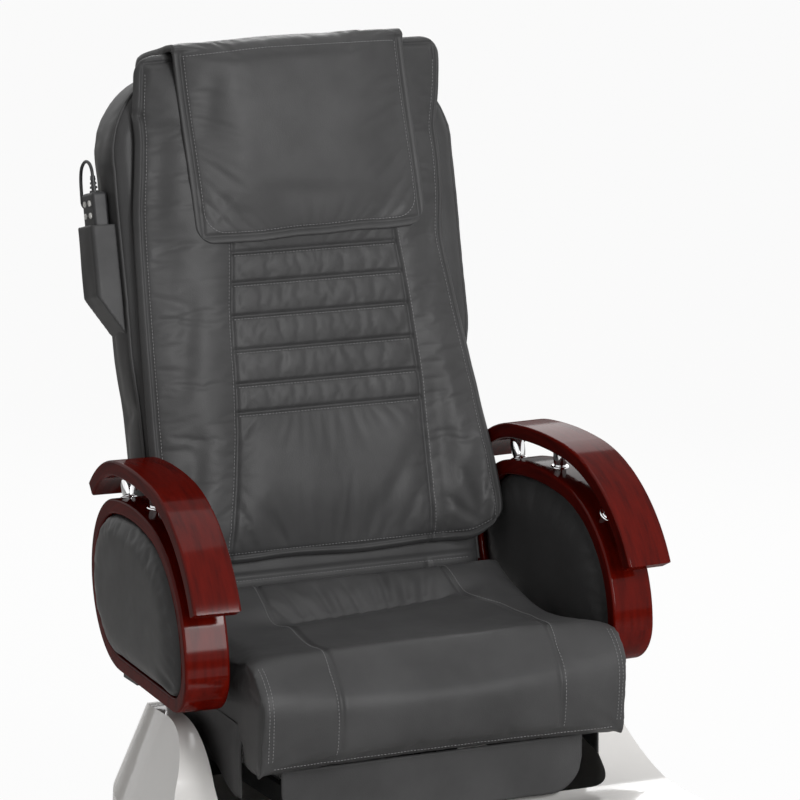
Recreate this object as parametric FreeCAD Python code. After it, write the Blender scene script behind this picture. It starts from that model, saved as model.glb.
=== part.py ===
import FreeCAD, Part
import math
import os

os.makedirs("parts", exist_ok=True)
V = FreeCAD.Vector

# Driving dimensions in millimetres: the floor is Z 0, the sitter faces -Y, X 0 is the middle

# Moulded base
BASE_HALF_WIDTH = 400.0
BASE_DECK_HALF_WIDTH = 385.0
BASE_CREST_HALF_WIDTH = 318.0
BASE_FRONT_Y = -700.0
BASE_REAR_Y = 620.0
BASE_DRAFT_Y = 10.0
BASE_CREST_DRAFT_Y = 55.0
BASE_CORNER_R = 130.0
BASE_REAR_CORNER_R = 320.0
BASE_WALL = 6.0
DECK_Z = 352.0
SHOULDER_FOOT_Y = 70.0
SHOULDER_PEAK_Y = 288.0
SHOULDER_PEAK_Z = 486.0
BASE_REAR_TOP_Z = 370.0
CREST_SECTION_Z = 500.0
BOARD_THICK = 12.0
WELL_HALF_WIDTH = 300.0
WELL_FRONT_Y = 105.0
WELL_REAR_Y = 570.0
WELL_CORNER_R = 40.0
WELL_REAR_CORNER_R = 220.0

# Foot basin and its water fittings
BASIN_HALF_WIDTH = 235.0
BASIN_FRONT_Y = -620.0
BASIN_REAR_Y = -60.0
BASIN_CORNER_R = 110.0
BASIN_FLOOR_Z = 120.0
BASIN_DRAFT = 48.0
BASIN_WALL = 5.0
BASIN_FLANGE = 22.0
FOOTREST_HALF_WIDTH = 150.0
FOOTREST_LENGTH = 190.0
FOOTREST_HEIGHT = 95.0
DRAIN_R = 32.0
DRAIN_HOLE_R = 21.0
DRAIN_RIM = 3.0
PIPE_R = 18.0
PIPE_WALL = 2.5
PIPE_Z = 55.0
SPIGOT_R = 20.0
SPIGOT_LENGTH = 45.0
JET_R = 14.0
JET_FLANGE_R = 24.0
JET_DROP = 120.0
JET_SPACING = 240.0
TAP_INSET = 72.0
TAP_X = TAP_INSET - BASE_DECK_HALF_WIDTH
TAP_Y = -400.0
TAP_R = 13.0
TAP_BODY_R = 19.5
TAP_FOOT = 8.0
TAP_FOOT_R = 35.5
TAP_HEIGHT = 105.0
TAP_SPOUT_DROP = 31.0
TAP_MOUTH_R = 9.0
GRIP_R = 6.0
GRIP_TIP_R = 4.0
GRIP_LENGTH = 65.0
GRIP_RISE = 0.35
TAP_REACH = 150.0
TAP_BEND_R = 32.0
INLET_X = 56.0
INLET_Z = 70.0
INLET_WIDTH = 48.0
INLET_HEIGHT = 28.0
INLET_DEPTH = 50.0
INLET_PROUD = 2.0
INLET_RIM = 6.0
INLET_WALL = 4.0
INLET_MOUTH = 16.0
BLADE = 2.0
BLADE_WIDTH = 4.0
BLADE_LENGTH = 15.0
BLADE_PITCH = 12.0
BLADE_DROP = 3.0

# Steel under the seat
TUBE = 20.0
BEAM = 30.0
FRAME_X = 200.0
FRAME_FRONT_Y = 110.0
FRAME_REAR_Y = 530.0
FRAME_Z = 440.0
SEAT_BOARD_THICK = 15.0
RAIL_LENGTH = 380.0
RAIL_HEIGHT = 16.0
RAIL_WIDTH = 24.0
RAIL_NECK = 12.0
RUNNER_LENGTH = 50.0
RUNNER_WIDTH = 44.0
RUNNER_GAP = 0.3
SLIDE_TRAVEL = 120.0
ACTUATOR_R = 20.0
ACTUATOR_LENGTH = 200.0
SLIDE_X = 90.0
SLIDE_Z = 350.0
SLIDE_BODY_R = 15.0
SLIDE_BODY_LENGTH = 150.0
SLIDE_MOTOR_OFFSET = 36.0
SLIDE_MOTOR_LENGTH = 90.0
SLIDE_MOTOR_INSET = 15.0
RECLINE_MOTOR_OFFSET = 46.0
GEAR_HALF = 14.0
GEAR_LENGTH = 30.0
ROD_R = 9.0
FIT = 0.05

# Seat upholstery
SEAT_FRONT_HALF = 287.0
SEAT_REAR_HALF = 266.0
SEAT_FRONT_Y = 34.0
SEAT_REAR_Y = 455.0
SEAT_CROWN_Z = 604.0
SEAT_VALLEY_Z = 590.0
SEAT_REAR_Z = 628.0
SEAT_LIP_Z = 446.0
SEAT_ROLL_R = 62.0
SEAT_LIP_R = 34.0
SKIRT_HALF = 235.0
SKIRT_Y = 84.0
SKIRT_HEM_Z = 362.0
SKIRT_TURN_R = 50.0
CLOTH = 3.0
VALANCE_FRONT_Y = 123.0
VALANCE_REAR_Y = 437.0
VALANCE_FRONT_HEM_Z = 402.0
VALANCE_REAR_HEM_Z = 444.0
VALANCE_SWEEP = 141.0
VALANCE_SAG = 5.0
SOFT_GAP = 1.0

# Recline hinge and its drive
RECLINE_Y = 505.0
RECLINE_Z = 555.0
RECLINE_MAX = 35.0
LEVER_LENGTH = 140.0
LEVER_PIN_R = 5.0
PIVOT_PIN_R = 8.0
PIVOT_HEAD_R = 12.0
HINGE_FOOT_HALF = 26.0
PLATE = 6.0

# Backrest: depth runs rearward from the pad's face, height runs up the reclined back
BACK_Y = 442.0
BACK_Z = 640.0
BACK_TILT = 13.0
PAD_THICK = 30.0
PAD_BOTTOM = 15.0
PAD_TOP = 775.0
PAD_BOTTOM_HALF = 268.0
PAD_TOP_HALF = 250.0
PAD_CORNER_R = 28.0
PILLOW_HALF = 182.0
PILLOW_BOTTOM = 487.0
PILLOW_THICK = 26.0
PILLOW_CORNER_R = 40.0
PILLOW_BRIDGE = 12.0
PILLOW_CREST_R = 10.8
PILLOW_TAIL = 160.0
BODY_BOTTOM = -45.0
BODY_TOP = 755.0
BODY_LOW_HALF = 262.0
BODY_HIGH_HALF = 268.0
BODY_WAIST = 250.0
BODY_SHOULDER = 330.0
BODY_TOP_R = 130.0
BODY_FOAM = 34.0
BODY_DEPTH = 150.0
BODY_WALL = 10.0
WINDOW_HALF = 165.0
WINDOW_BOTTOM = 60.0
WINDOW_TOP = 620.0

# Massage mechanism inside the back
UPRIGHT_X = 210.0
UPRIGHT_DEPTH = 80.0
UPRIGHT_TOP = 700.0
BAR_LOW = -10.0
BAR_HIGH = 650.0
GUIDE_X = 132.0
GUIDE_WIDTH = 15.0
SCREW_DEPTH = 86.0
SCREW_R = 7.0
JOURNAL_R = 4.9
CARRIAGE_LOW = 80.0
CARRIAGE_HEIGHT = 130.0
CARRIAGE_PLATE = 16.0
CARRIAGE_GAP = 0.5
SHAFT_R = 8.0
SHAFT_DEPTH = 67.0
ROLLER_X = 70.0
ROLLER_R = 26.0
ROLLER_WIDTH = 34.0
ROLLER_THROW = 4.0
MOTOR_R = 21.0
MOTOR_LENGTH = 120.0

# Handset in its side pocket
HANDSET_THICK = 24.0
HANDSET_WIDTH = 46.0
HANDSET_LENGTH = 150.0
HANDSET_BOTTOM = 428.0
HANDSET_DEPTH = 83.0
HANDSET_EDGE_R = 5.0
POCKET_TOP = 530.0
POCKET_FOOT = 365.0
POCKET_WALL = 3.0
POCKET_ROOM = 6.0
RELIEF_LENGTH = 25.0
RELIEF_R = 6.5
RELIEF_TIP_R = 3.5
RELIEF_CORE_R = 3.4
LEAD_R = 2.5
LEAD_BEND_SHARE = 0.45
BUTTON_R = 4.5
BUTTON_PROUD = 2.2
BUTTON_SINK = 4.0
BUTTON_PITCH_DEPTH = 20.0
BUTTON_PITCH_HEIGHT = 18.0
BUTTON_TOP_INSET = 16.0
BUTTON_GAP = 0.3
GROMMET_R = 6.0
GROMMET_LIP_R = 9.0

# Bentwood arms: distance runs rearward from the arm's front, height is above the arm's datum
ARM_X = 334.0
ARM_Y = 90.0
ARM_Z = 690.0
ARM_TOE = 3.15
RAIL_APEX = (258.0, 147.0)
RAIL_TOP_R = 700.0
RAIL_FRONT_R = 255.0
RAIL_REAR_R = 200.0
RAIL_TANGENT = (180.0, 330.0)
RAIL_ENDS = (-22.0, 450.0)
RAIL_THICK = 22.5
RAIL_HALF = 35.0
RAIL_EDGE_R = 4.0
RING_APEX = (265.0, 92.0)
RING_TOP_R = 450.0
RING_FRONT_R = 190.0
RING_REAR_R = 125.0
RING_TANGENT = (175.0, 345.0)
RING_BOTTOM = -166.0
RING_BAND = 22.0
RING_HALF = 33.0
RING_EDGE_R = 4.0
PANEL_HALF = 29.0
PANEL_EDGE_R = 12.0
POST_R = 9.0
POST_SWELL_R = 10.8
POST_FOOT_R = 14.0
POST_FOOT = 5.0
POST_FOOT_TOP_R = 11.2
POST_FOOT_ROUND = (13.0, 4.25)
POST_SINK = 3.0
POST_ANGLES = (127.0, 93.0, 71.0)
HINGE_STRIP = 4.0
HINGE_STRIP_HALF = 18.0
HINGE_STRIP_ANGLES = (-78.0, -42.0)
FLIP_Y = 505.0
FLIP_Z = 512.0
FLIP_PIN_R = 5.0
FLIP_EYE_R = 13.0
TONGUE = 8.0
TONGUE_X = 307.0
FLIP_HEAD_R = 8.5
BRACKET_FRONT_REACH = 30.0
BRACKET_REAR_REACH = 24.0
STOP_GAP = 0.3
STOP_REACH = 125.0
STOP_LENGTH = 25.0


# Shape helpers

ARC_NEAR = 1 - math.sqrt(0.5)
TINY = 1e-6


def box(x0, x1, y0, y1, z0, z1):
    return Part.makeBox(x1 - x0, y1 - y0, z1 - z0, V(x0, y0, z0))


def rod(start, direction, radius, length):
    return Part.makeCylinder(radius, length, V(*start), V(*direction))


def mirrored(shape):
    return shape.mirror(V(0, 0, 0), V(1, 0, 0))


def both_sides(shape):
    return [shape, mirrored(shape)]


def fused(shapes):
    whole = shapes[0]
    if len(shapes) > 1:
        whole = whole.multiFuse(shapes[1:])
    return whole.removeSplitter()


def rounded_rectangle(x0, x1, y0, y1, front_r, rear_r, z):
    """Closed wire of a rectangle at height z, its quarter-round corners larger or smaller at the rear."""
    edges = []
    corners = [(x1, y0, -1, 1), (x1, y1, -1, -1), (x0, y1, 1, -1), (x0, y0, 1, 1)]
    joints = []
    for x, y, dx, dy in corners:
        radius = front_r if dy > 0 else rear_r
        k = radius * ARC_NEAR
        beside = V(x + dx * radius, y, z)
        above = V(x, y + dy * radius, z)
        middle = V(x + dx * k, y + dy * k, z)
        joints.append((beside, middle, above) if dx * dy < 0 else (above, middle, beside))
    for index, (first, middle, last) in enumerate(joints):
        edges.append(Part.Arc(first, middle, last).toShape())
        following = joints[(index + 1) % len(joints)][0]
        edges.append(Part.LineSegment(last, following).toShape())
    return Part.Wire(Part.__sortEdges__(edges))


def outline(start, steps):
    """Closed wire from a start point; a step is an end point, or a mid point and an end point."""
    edges = []
    here = V(*start)
    for step in steps:
        if len(step) == 2:
            edges.append(Part.Arc(here, V(*step[0]), V(*step[1])).toShape())
            here = V(*step[1])
        else:
            edges.append(Part.LineSegment(here, V(*step)).toShape())
            here = V(*step)
    return Part.Wire(edges)


def slab(wire, thickness):
    return Part.Face(wire).extrude(V(*thickness))


def polar(centre, radius, degrees):
    angle = math.radians(degrees)
    return (centre[0] + radius * math.cos(angle), centre[1] + radius * math.sin(angle))


def save(name, shape):
    shape.exportStep("parts/" + name + ".step")


# Moulded base with its shoulders, foot basin and water fittings

def base_block(inset, drop):
    """The base's outer form, drawn in by a wall at the sides and lowered at the top."""
    sections = []
    for z, half, draft, tighter in (
        (BOARD_THICK, BASE_HALF_WIDTH, 0.0, 0.0),
        (DECK_Z, BASE_DECK_HALF_WIDTH, BASE_DRAFT_Y, 0.0),
        (CREST_SECTION_Z, BASE_CREST_HALF_WIDTH, BASE_CREST_DRAFT_Y, BASE_CREST_DRAFT_Y),
    ):
        sections.append(rounded_rectangle(
            inset - half, half - inset,
            BASE_FRONT_Y + draft + inset, BASE_REAR_Y - draft - inset,
            BASE_CORNER_R - tighter - inset, BASE_REAR_CORNER_R - tighter - inset, z))
    block = Part.makeLoft(sections, True, True)
    run = SHOULDER_PEAK_Y - SHOULDER_FOOT_Y
    rise = SHOULDER_PEAK_Z - DECK_Z
    bend = (run ** 2 + rise ** 2) / (4 * rise)
    turn = math.degrees(math.asin(run / 2 / bend))
    deck = DECK_Z - drop
    peak = SHOULDER_PEAK_Z - drop
    rear = BASE_REAR_TOP_Z - drop
    foot_centre = (SHOULDER_FOOT_Y, deck + bend)
    peak_centre = (SHOULDER_PEAK_Y, peak - bend)
    fall = peak - rear
    fall_run = BASE_REAR_Y - SHOULDER_PEAK_Y
    fall_r = (fall_run ** 2 + fall ** 2) / (2 * fall)
    fall_turn = math.degrees(math.asin(fall_run / fall_r))
    fall_centre = (SHOULDER_PEAK_Y, peak - fall_r)
    half = BASE_HALF_WIDTH

    def at(point):
        return (-half, point[0], point[1])

    side = outline(
        (-half, BASE_FRONT_Y, 0), [
            (-half, BASE_FRONT_Y, deck),
            at((SHOULDER_FOOT_Y, deck)),
            (at(polar(foot_centre, bend, -90 + turn / 2)), at(polar(foot_centre, bend, -90 + turn))),
            (at(polar(peak_centre, bend, 90 + turn / 2)), at((SHOULDER_PEAK_Y, peak))),
            (at(polar(fall_centre, fall_r, 90 - fall_turn / 2)), at((BASE_REAR_Y, rear))),
            (-half, BASE_REAR_Y, 0),
            (-half, BASE_FRONT_Y, 0)])
    return block.common(slab(side, (2 * half, 0, 0)))


def basin_form(inset, top, floor):
    """A drafted tub with rounded corners from its top to its floor."""
    def section(z):
        draw = inset + BASIN_DRAFT * (DECK_Z - z) / (DECK_Z - BASIN_FLOOR_Z)
        corner = BASIN_CORNER_R - inset
        return rounded_rectangle(
            draw - BASIN_HALF_WIDTH, BASIN_HALF_WIDTH - draw,
            BASIN_FRONT_Y + draw, BASIN_REAR_Y - draw, corner, corner, z)
    return Part.makeLoft([section(top), section(floor)], True, True)


BASIN_MID_Y = (BASIN_FRONT_Y + BASIN_REAR_Y) / 2
DRAIN_Y = BASIN_MID_Y + FOOTREST_LENGTH / 2
PIPE_BEND = 2 * PIPE_R
BASIN_UNDERSIDE = BASIN_FLOOR_Z - BASIN_WALL
DRAIN_FOOT_Z = PIPE_Z + PIPE_BEND
BASE_OUTER = base_block(0.0, 0.0)
PIPE_CLEAR = 0.5


def make_base_shell():
    shell = BASE_OUTER.cut(base_block(BASE_WALL, BASE_WALL))
    opening = rounded_rectangle(
        -BASIN_HALF_WIDTH - PIPE_CLEAR, BASIN_HALF_WIDTH + PIPE_CLEAR,
        BASIN_FRONT_Y - PIPE_CLEAR, BASIN_REAR_Y + PIPE_CLEAR,
        BASIN_CORNER_R, BASIN_CORNER_R, DECK_Z - 2 * BASE_WALL)
    well = rounded_rectangle(
        -WELL_HALF_WIDTH, WELL_HALF_WIDTH, WELL_FRONT_Y, WELL_REAR_Y,
        WELL_CORNER_R, WELL_REAR_CORNER_R, DECK_Z - 2 * BASE_WALL)
    shell = shell.cut(slab(opening, (0, 0, 4 * BASE_WALL)))
    shell = shell.cut(slab(well, (0, 0, SHOULDER_PEAK_Z)))
    reach = BASE_REAR_Y - WELL_REAR_Y + BASE_WALL
    shell = shell.cut(rod((0, WELL_REAR_Y, PIPE_Z), (0, 1, 0), PIPE_R + PIPE_CLEAR, reach))
    return shell.cut(inlet_box(PIPE_CLEAR, PIPE_CLEAR, INLET_DEPTH, BASE_REAR_Y + INLET_PROUD))


def inlet_box(grow_x, grow_z, depth, rear):
    """Box about the mains inlet, grown past its body, from a depth inside the rear wall to a rear face."""
    half_x = INLET_WIDTH / 2 + grow_x
    half_z = INLET_HEIGHT / 2 + grow_z
    return box(INLET_X - half_x, INLET_X + half_x, BASE_REAR_Y - depth, rear,
               INLET_Z - half_z, INLET_Z + half_z)


def make_mains_inlet():
    rear = BASE_REAR_Y + INLET_PROUD
    body = inlet_box(0.0, 0.0, INLET_DEPTH, rear)
    flange = inlet_box(INLET_RIM, INLET_RIM, 2 * INLET_RIM, rear).cut(BASE_OUTER)
    mouth = inlet_box(-INLET_WALL, -INLET_WALL, INLET_MOUTH, rear)
    floor = BASE_REAR_Y - INLET_MOUTH - INLET_PROUD
    blades = []
    for column, rise in ((-1, -BLADE_DROP), (0, BLADE_DROP), (1, -BLADE_DROP)):
        x = INLET_X + column * BLADE_PITCH
        z = INLET_Z + rise
        blades.append(box(x - BLADE / 2, x + BLADE / 2, floor, floor + BLADE_LENGTH,
                          z - BLADE_WIDTH / 2, z + BLADE_WIDTH / 2))
    return fused([fused([body, flange]).cut(mouth)] + blades)


def make_base_board():
    reveal = BASE_WALL / 2
    plan = rounded_rectangle(
        reveal - BASE_HALF_WIDTH, BASE_HALF_WIDTH - reveal,
        BASE_FRONT_Y + reveal, BASE_REAR_Y - reveal,
        BASE_CORNER_R - reveal, BASE_REAR_CORNER_R - reveal, 0)
    return slab(plan, (0, 0, BOARD_THICK))


def jet_places():
    """Centre on the tub's inner wall and the wall's inward normal, for each jet."""
    z = DECK_Z - JET_DROP
    draw = BASIN_WALL + BASIN_DRAFT * (DECK_Z - z) / (DECK_Z - BASIN_FLOOR_Z)
    slope = math.atan2(BASIN_DRAFT, DECK_Z - BASIN_FLOOR_Z)
    for side in (-1, 1):
        for along in (-0.5, 0.5):
            centre = V(side * (BASIN_HALF_WIDTH - draw), BASIN_MID_Y + along * JET_SPACING, z)
            yield centre, V(-side * math.cos(slope), 0, math.sin(slope))


def make_foot_basin():
    corner = BASIN_CORNER_R + BASIN_FLANGE
    flange = slab(rounded_rectangle(
        -BASIN_HALF_WIDTH - BASIN_FLANGE, BASIN_HALF_WIDTH + BASIN_FLANGE,
        BASIN_FRONT_Y - BASIN_FLANGE, BASIN_REAR_Y + BASIN_FLANGE,
        corner, corner, DECK_Z), (0, 0, BASIN_WALL))
    tub = fused([basin_form(0.0, DECK_Z, BASIN_UNDERSIDE), flange])
    tub = tub.cut(basin_form(BASIN_WALL, DECK_Z + BASIN_WALL, BASIN_FLOOR_Z))
    tub = tub.cut(rod((0, DRAIN_Y, BASIN_UNDERSIDE - 1), (0, 0, 1), DRAIN_HOLE_R, BASIN_WALL + 2))
    for centre, inward in jet_places():
        outside = centre - inward * 3 * BASIN_WALL
        tub = tub.cut(Part.makeCylinder(JET_R + FIT, 4 * BASIN_WALL, outside, inward))
    return tub


def make_water_jets():
    jets = []
    for centre, inward in jet_places():
        face = Part.makeCylinder(JET_FLANGE_R, BASIN_WALL, centre, inward)
        face = face.makeFillet(BASIN_WALL / 2, [edge_at(face, centre + inward * BASIN_WALL, JET_FLANGE_R)])
        neck = Part.makeCylinder(JET_R, 6 * BASIN_WALL, centre - inward * 6 * BASIN_WALL, inward)
        throat = Part.makeCylinder(JET_R / 2, 4 * BASIN_WALL, centre - inward * 2 * BASIN_WALL, inward)
        jets.append(fused([face, neck]).cut(throat))
    return Part.makeCompound(jets)


def edge_at(shape, centre, radius):
    """The circular edge of a given radius about a given centre."""
    for edge in shape.Edges:
        curve = edge.Curve
        if isinstance(curve, Part.Circle) and abs(curve.Radius - radius) < TINY:
            if curve.Center.distanceToPoint(centre) < TINY:
                return edge
    raise ValueError("no such circular edge")


def make_footrest():
    front = BASIN_FRONT_Y + BASIN_DRAFT + BASIN_CORNER_R / 3
    rear = front + FOOTREST_LENGTH
    top = BASIN_FLOOR_Z + FOOTREST_HEIGHT
    nose = FOOTREST_HEIGHT / 4
    low = BASIN_FLOOR_Z + FOOTREST_HEIGHT / 3
    x = -FOOTREST_HALF_WIDTH
    side = outline((x, front, BASIN_FLOOR_Z), [
        (x, front, top - nose),
        ((x, front + nose * ARC_NEAR, top - nose * ARC_NEAR), (x, front + nose, top)),
        ((x, (front + rear) / 2, (top + low) / 2 - nose / 2), (x, rear - nose, low)),
        ((x, rear - nose * ARC_NEAR, low - nose * ARC_NEAR), (x, rear, low - nose)),
        (x, rear, BASIN_FLOOR_Z),
        (x, front, BASIN_FLOOR_Z)])
    return slab(side, (2 * FOOTREST_HALF_WIDTH, 0, 0))


def make_basin_drain():
    flange = rod((0, DRAIN_Y, BASIN_FLOOR_Z), (0, 0, 1), DRAIN_R, DRAIN_RIM)
    tail = rod((0, DRAIN_Y, DRAIN_FOOT_Z), (0, 0, 1), PIPE_R, BASIN_FLOOR_Z - DRAIN_FOOT_Z)
    depth = BASIN_FLOOR_Z + DRAIN_RIM - DRAIN_FOOT_Z
    bore = rod((0, DRAIN_Y, DRAIN_FOOT_Z), (0, 0, 1), PIPE_R - PIPE_WALL, depth)
    spider = box(-PIPE_R + PIPE_WALL / 2, PIPE_R - PIPE_WALL / 2, DRAIN_Y - SHAFT_R, DRAIN_Y + SHAFT_R,
                 DRAIN_FOOT_Z, DRAIN_FOOT_Z + DRAIN_RIM)
    guide = rod((0, DRAIN_Y, DRAIN_FOOT_Z - 1), (0, 0, 1), LEVER_PIN_R + FIT, 2 * DRAIN_RIM)
    return fused([fused([flange, tail]).cut(bore), spider]).cut(guide)


def make_drain_plug():
    seat = BASIN_FLOOR_Z + DRAIN_RIM + RUNNER_GAP
    cap = rod((0, DRAIN_Y, seat), (0, 0, 1), DRAIN_HOLE_R, DRAIN_RIM)
    cap = cap.makeFillet(DRAIN_RIM / 2, [edge_at(cap, V(0, DRAIN_Y, seat + DRAIN_RIM), DRAIN_HOLE_R)])
    stem = rod((0, DRAIN_Y, DRAIN_FOOT_Z), (0, 0, 1), LEVER_PIN_R, seat - DRAIN_FOOT_Z)
    return fused([cap, stem])


def make_drain_pipe():
    corner = V(0, DRAIN_Y + PIPE_BEND * ARC_NEAR, PIPE_Z + PIPE_BEND * ARC_NEAR)
    start = V(0, DRAIN_Y, DRAIN_FOOT_Z)
    elbow = V(0, DRAIN_Y + PIPE_BEND, PIPE_Z)
    end = V(0, BASE_REAR_Y + PIPE_CLEAR + SPIGOT_LENGTH, PIPE_Z)
    path = Part.Wire([Part.Arc(start, corner, elbow).toShape(), Part.LineSegment(elbow, end).toShape()])
    skins = []
    for radius in (PIPE_R, PIPE_R - PIPE_WALL):
        ring = Part.Wire([Part.Circle(start, V(0, 0, 1), radius).toShape()])
        skins.append(path.makePipeShell([ring], True, False))
    spigot = rod((0, BASE_REAR_Y + PIPE_CLEAR, PIPE_Z), (0, 1, 0), SPIGOT_R, SPIGOT_LENGTH)
    return fused([skins[0], spigot]).cut(skins[1])


TAP_CAP_Z = DECK_Z + TAP_HEIGHT


def make_tap_body():
    base = rod((TAP_X, TAP_Y, DECK_Z), (0, 0, 1), TAP_FOOT_R, TAP_FOOT)
    base = base.makeFillet(TAP_FOOT / 2, [edge_at(base, V(TAP_X, TAP_Y, DECK_Z + TAP_FOOT), TAP_FOOT_R)])
    body = rod((TAP_X, TAP_Y, DECK_Z), (0, 0, 1), TAP_BODY_R, TAP_HEIGHT)
    level = TAP_CAP_Z - TAP_SPOUT_DROP
    tip = TAP_X + TAP_REACH
    start = V(TAP_X, TAP_Y, level)
    bend = V(tip - TAP_BEND_R, TAP_Y, level)
    middle = V(tip - TAP_BEND_R * ARC_NEAR, TAP_Y, level - TAP_BEND_R * ARC_NEAR)
    end = V(tip, TAP_Y, level - TAP_BEND_R)
    path = Part.Wire([Part.LineSegment(start, bend).toShape(), Part.Arc(bend, middle, end).toShape()])
    ring = Part.Wire([Part.Circle(start, V(1, 0, 0), TAP_R).toShape()])
    spout = path.makePipeShell([ring], True, False)
    mouth = rod((tip, TAP_Y, level - TAP_BEND_R), (0, 0, 1), TAP_MOUTH_R, TAP_BEND_R / 2)
    return fused([base, body, spout]).cut(mouth)


def make_tap_lever():
    seat = TAP_CAP_Z + RUNNER_GAP
    cap = rod((TAP_X, TAP_Y, seat), (0, 0, 1), TAP_BODY_R, TAP_R)
    cap = cap.makeFillet(TAP_R / 2, [edge_at(cap, V(TAP_X, TAP_Y, seat + TAP_R), TAP_BODY_R)])
    root = V(TAP_X, TAP_Y, seat + TAP_R / 2)
    grip = Part.makeCone(GRIP_R, GRIP_TIP_R, GRIP_LENGTH, root, V(0, -1, GRIP_RISE))
    return fused([cap, grip])


# Slides, frame and drives under the seat

BEAM_TOP_Z = FRAME_Z - BEAM
RAIL_REAR_Y = FRAME_FRONT_Y + RAIL_LENGTH
FRAME_TOP_Z = FRAME_Z + TUBE
CUSHION_Z = FRAME_TOP_Z + SEAT_BOARD_THICK
MID_TUBE_Y = (FRAME_FRONT_Y + RAIL_REAR_Y) / 2
REAR_TUBE_Y = MID_TUBE_Y + SLIDE_TRAVEL
HALF_LEVER_TURN = math.radians(RECLINE_MAX / 2)
LEVER_PIN_Y = RECLINE_Y + LEVER_LENGTH * math.sin(HALF_LEVER_TURN)
LEVER_PIN_Z = RECLINE_Z - LEVER_LENGTH * math.cos(HALF_LEVER_TURN)
LEVER_LOW_Z = RECLINE_Z - LEVER_LENGTH
LEVER_STROKE = 2 * LEVER_LENGTH * math.sin(HALF_LEVER_TURN)
RECLINE_ROD_Z = (LEVER_PIN_Z + LEVER_LOW_Z) / 2
ROD_END_THICK = 12.0
ROD_END_WALL = 4.0
LEVER_GAP = 2.0
SLOT_CLEAR = 0.45
ROD_END_HALF = LEVER_PIN_R + SLOT_CLEAR + ROD_END_WALL


def rail_section(x, grow, y):
    """Closed wire of the slide rail's T section, grown by a running gap."""
    neck = RAIL_NECK / 2 + grow
    head = RAIL_WIDTH / 2 + grow
    foot = BEAM_TOP_Z
    shelf = BEAM_TOP_Z + RAIL_HEIGHT / 2 - grow
    top = BEAM_TOP_Z + RAIL_HEIGHT + grow
    return outline((x - neck, y, foot), [
        (x + neck, y, foot), (x + neck, y, shelf), (x + head, y, shelf), (x + head, y, top),
        (x - head, y, top), (x - head, y, shelf), (x - neck, y, shelf), (x - neck, y, foot)])


def make_base_frame():
    near = FRAME_X - BEAM / 2
    far = FRAME_X + BEAM / 2
    side = [
        box(near, far, FRAME_FRONT_Y, RAIL_REAR_Y, BOARD_THICK, BOARD_THICK + BEAM),
        box(near, far, FRAME_FRONT_Y, RAIL_REAR_Y, BEAM_TOP_Z - BEAM, BEAM_TOP_Z),
        box(near, far, FRAME_FRONT_Y, FRAME_FRONT_Y + BEAM, BOARD_THICK, BEAM_TOP_Z),
        box(near, far, RAIL_REAR_Y - BEAM, RAIL_REAR_Y, BOARD_THICK, BEAM_TOP_Z)]
    sides = both_sides(fused(side))
    front_tie = box(-near, near, FRAME_FRONT_Y, FRAME_FRONT_Y + BEAM, SLIDE_Z / 2, SLIDE_Z / 2 + BEAM)
    rear_tie = box(-near, near, RAIL_REAR_Y - BEAM, RAIL_REAR_Y, SLIDE_Z - BEAM / 2, SLIDE_Z + BEAM / 2)
    return fused(sides + [front_tie, rear_tie])


def make_slide_rails():
    rail = slab(rail_section(FRAME_X, 0.0, FRAME_FRONT_Y), (0, RAIL_LENGTH, 0))
    return Part.makeCompound(both_sides(rail))


def make_slide_runners():
    low = BEAM_TOP_Z + RAIL_HEIGHT / 8
    runners = []
    for y in (FRAME_FRONT_Y + SLIDE_TRAVEL + TUBE / 2, RAIL_REAR_Y - TUBE - RUNNER_LENGTH):
        block = box(FRAME_X - RUNNER_WIDTH / 2, FRAME_X + RUNNER_WIDTH / 2,
                    y, y + RUNNER_LENGTH, low, FRAME_Z)
        block = block.cut(slab(rail_section(FRAME_X, RUNNER_GAP, y), (0, RUNNER_LENGTH, 0)))
        runners += both_sides(block)
    return Part.makeCompound(runners)


def make_seat_frame():
    near = FRAME_X - TUBE / 2
    far = FRAME_X + TUBE / 2
    members = both_sides(box(near, far, FRAME_FRONT_Y, FRAME_REAR_Y, FRAME_Z, FRAME_TOP_Z))
    for y in (FRAME_FRONT_Y, MID_TUBE_Y - TUBE / 2, REAR_TUBE_Y - TUBE / 2):
        members.append(box(-near, near, y, y + TUBE, FRAME_Z, FRAME_TOP_Z))
    low = RECLINE_ROD_Z - ACTUATOR_R / 2
    members.append(box(-TUBE / 2, TUBE / 2, FRAME_FRONT_Y, FRAME_FRONT_Y + TUBE, low, FRAME_Z))
    members.append(box(SLIDE_X - TUBE / 2, SLIDE_X + TUBE / 2, MID_TUBE_Y - TUBE / 2, MID_TUBE_Y + TUBE / 2,
                       SLIDE_Z - ACTUATOR_R / 2, FRAME_Z))
    return fused(members)


def make_seat_board():
    half = FRAME_X + 2 * TUBE
    plan = rounded_rectangle(-half, half, FRAME_FRONT_Y, REAR_TUBE_Y + TUBE / 2, TUBE, TUBE, FRAME_TOP_Z)
    return slab(plan, (0, 0, SEAT_BOARD_THICK))


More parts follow.
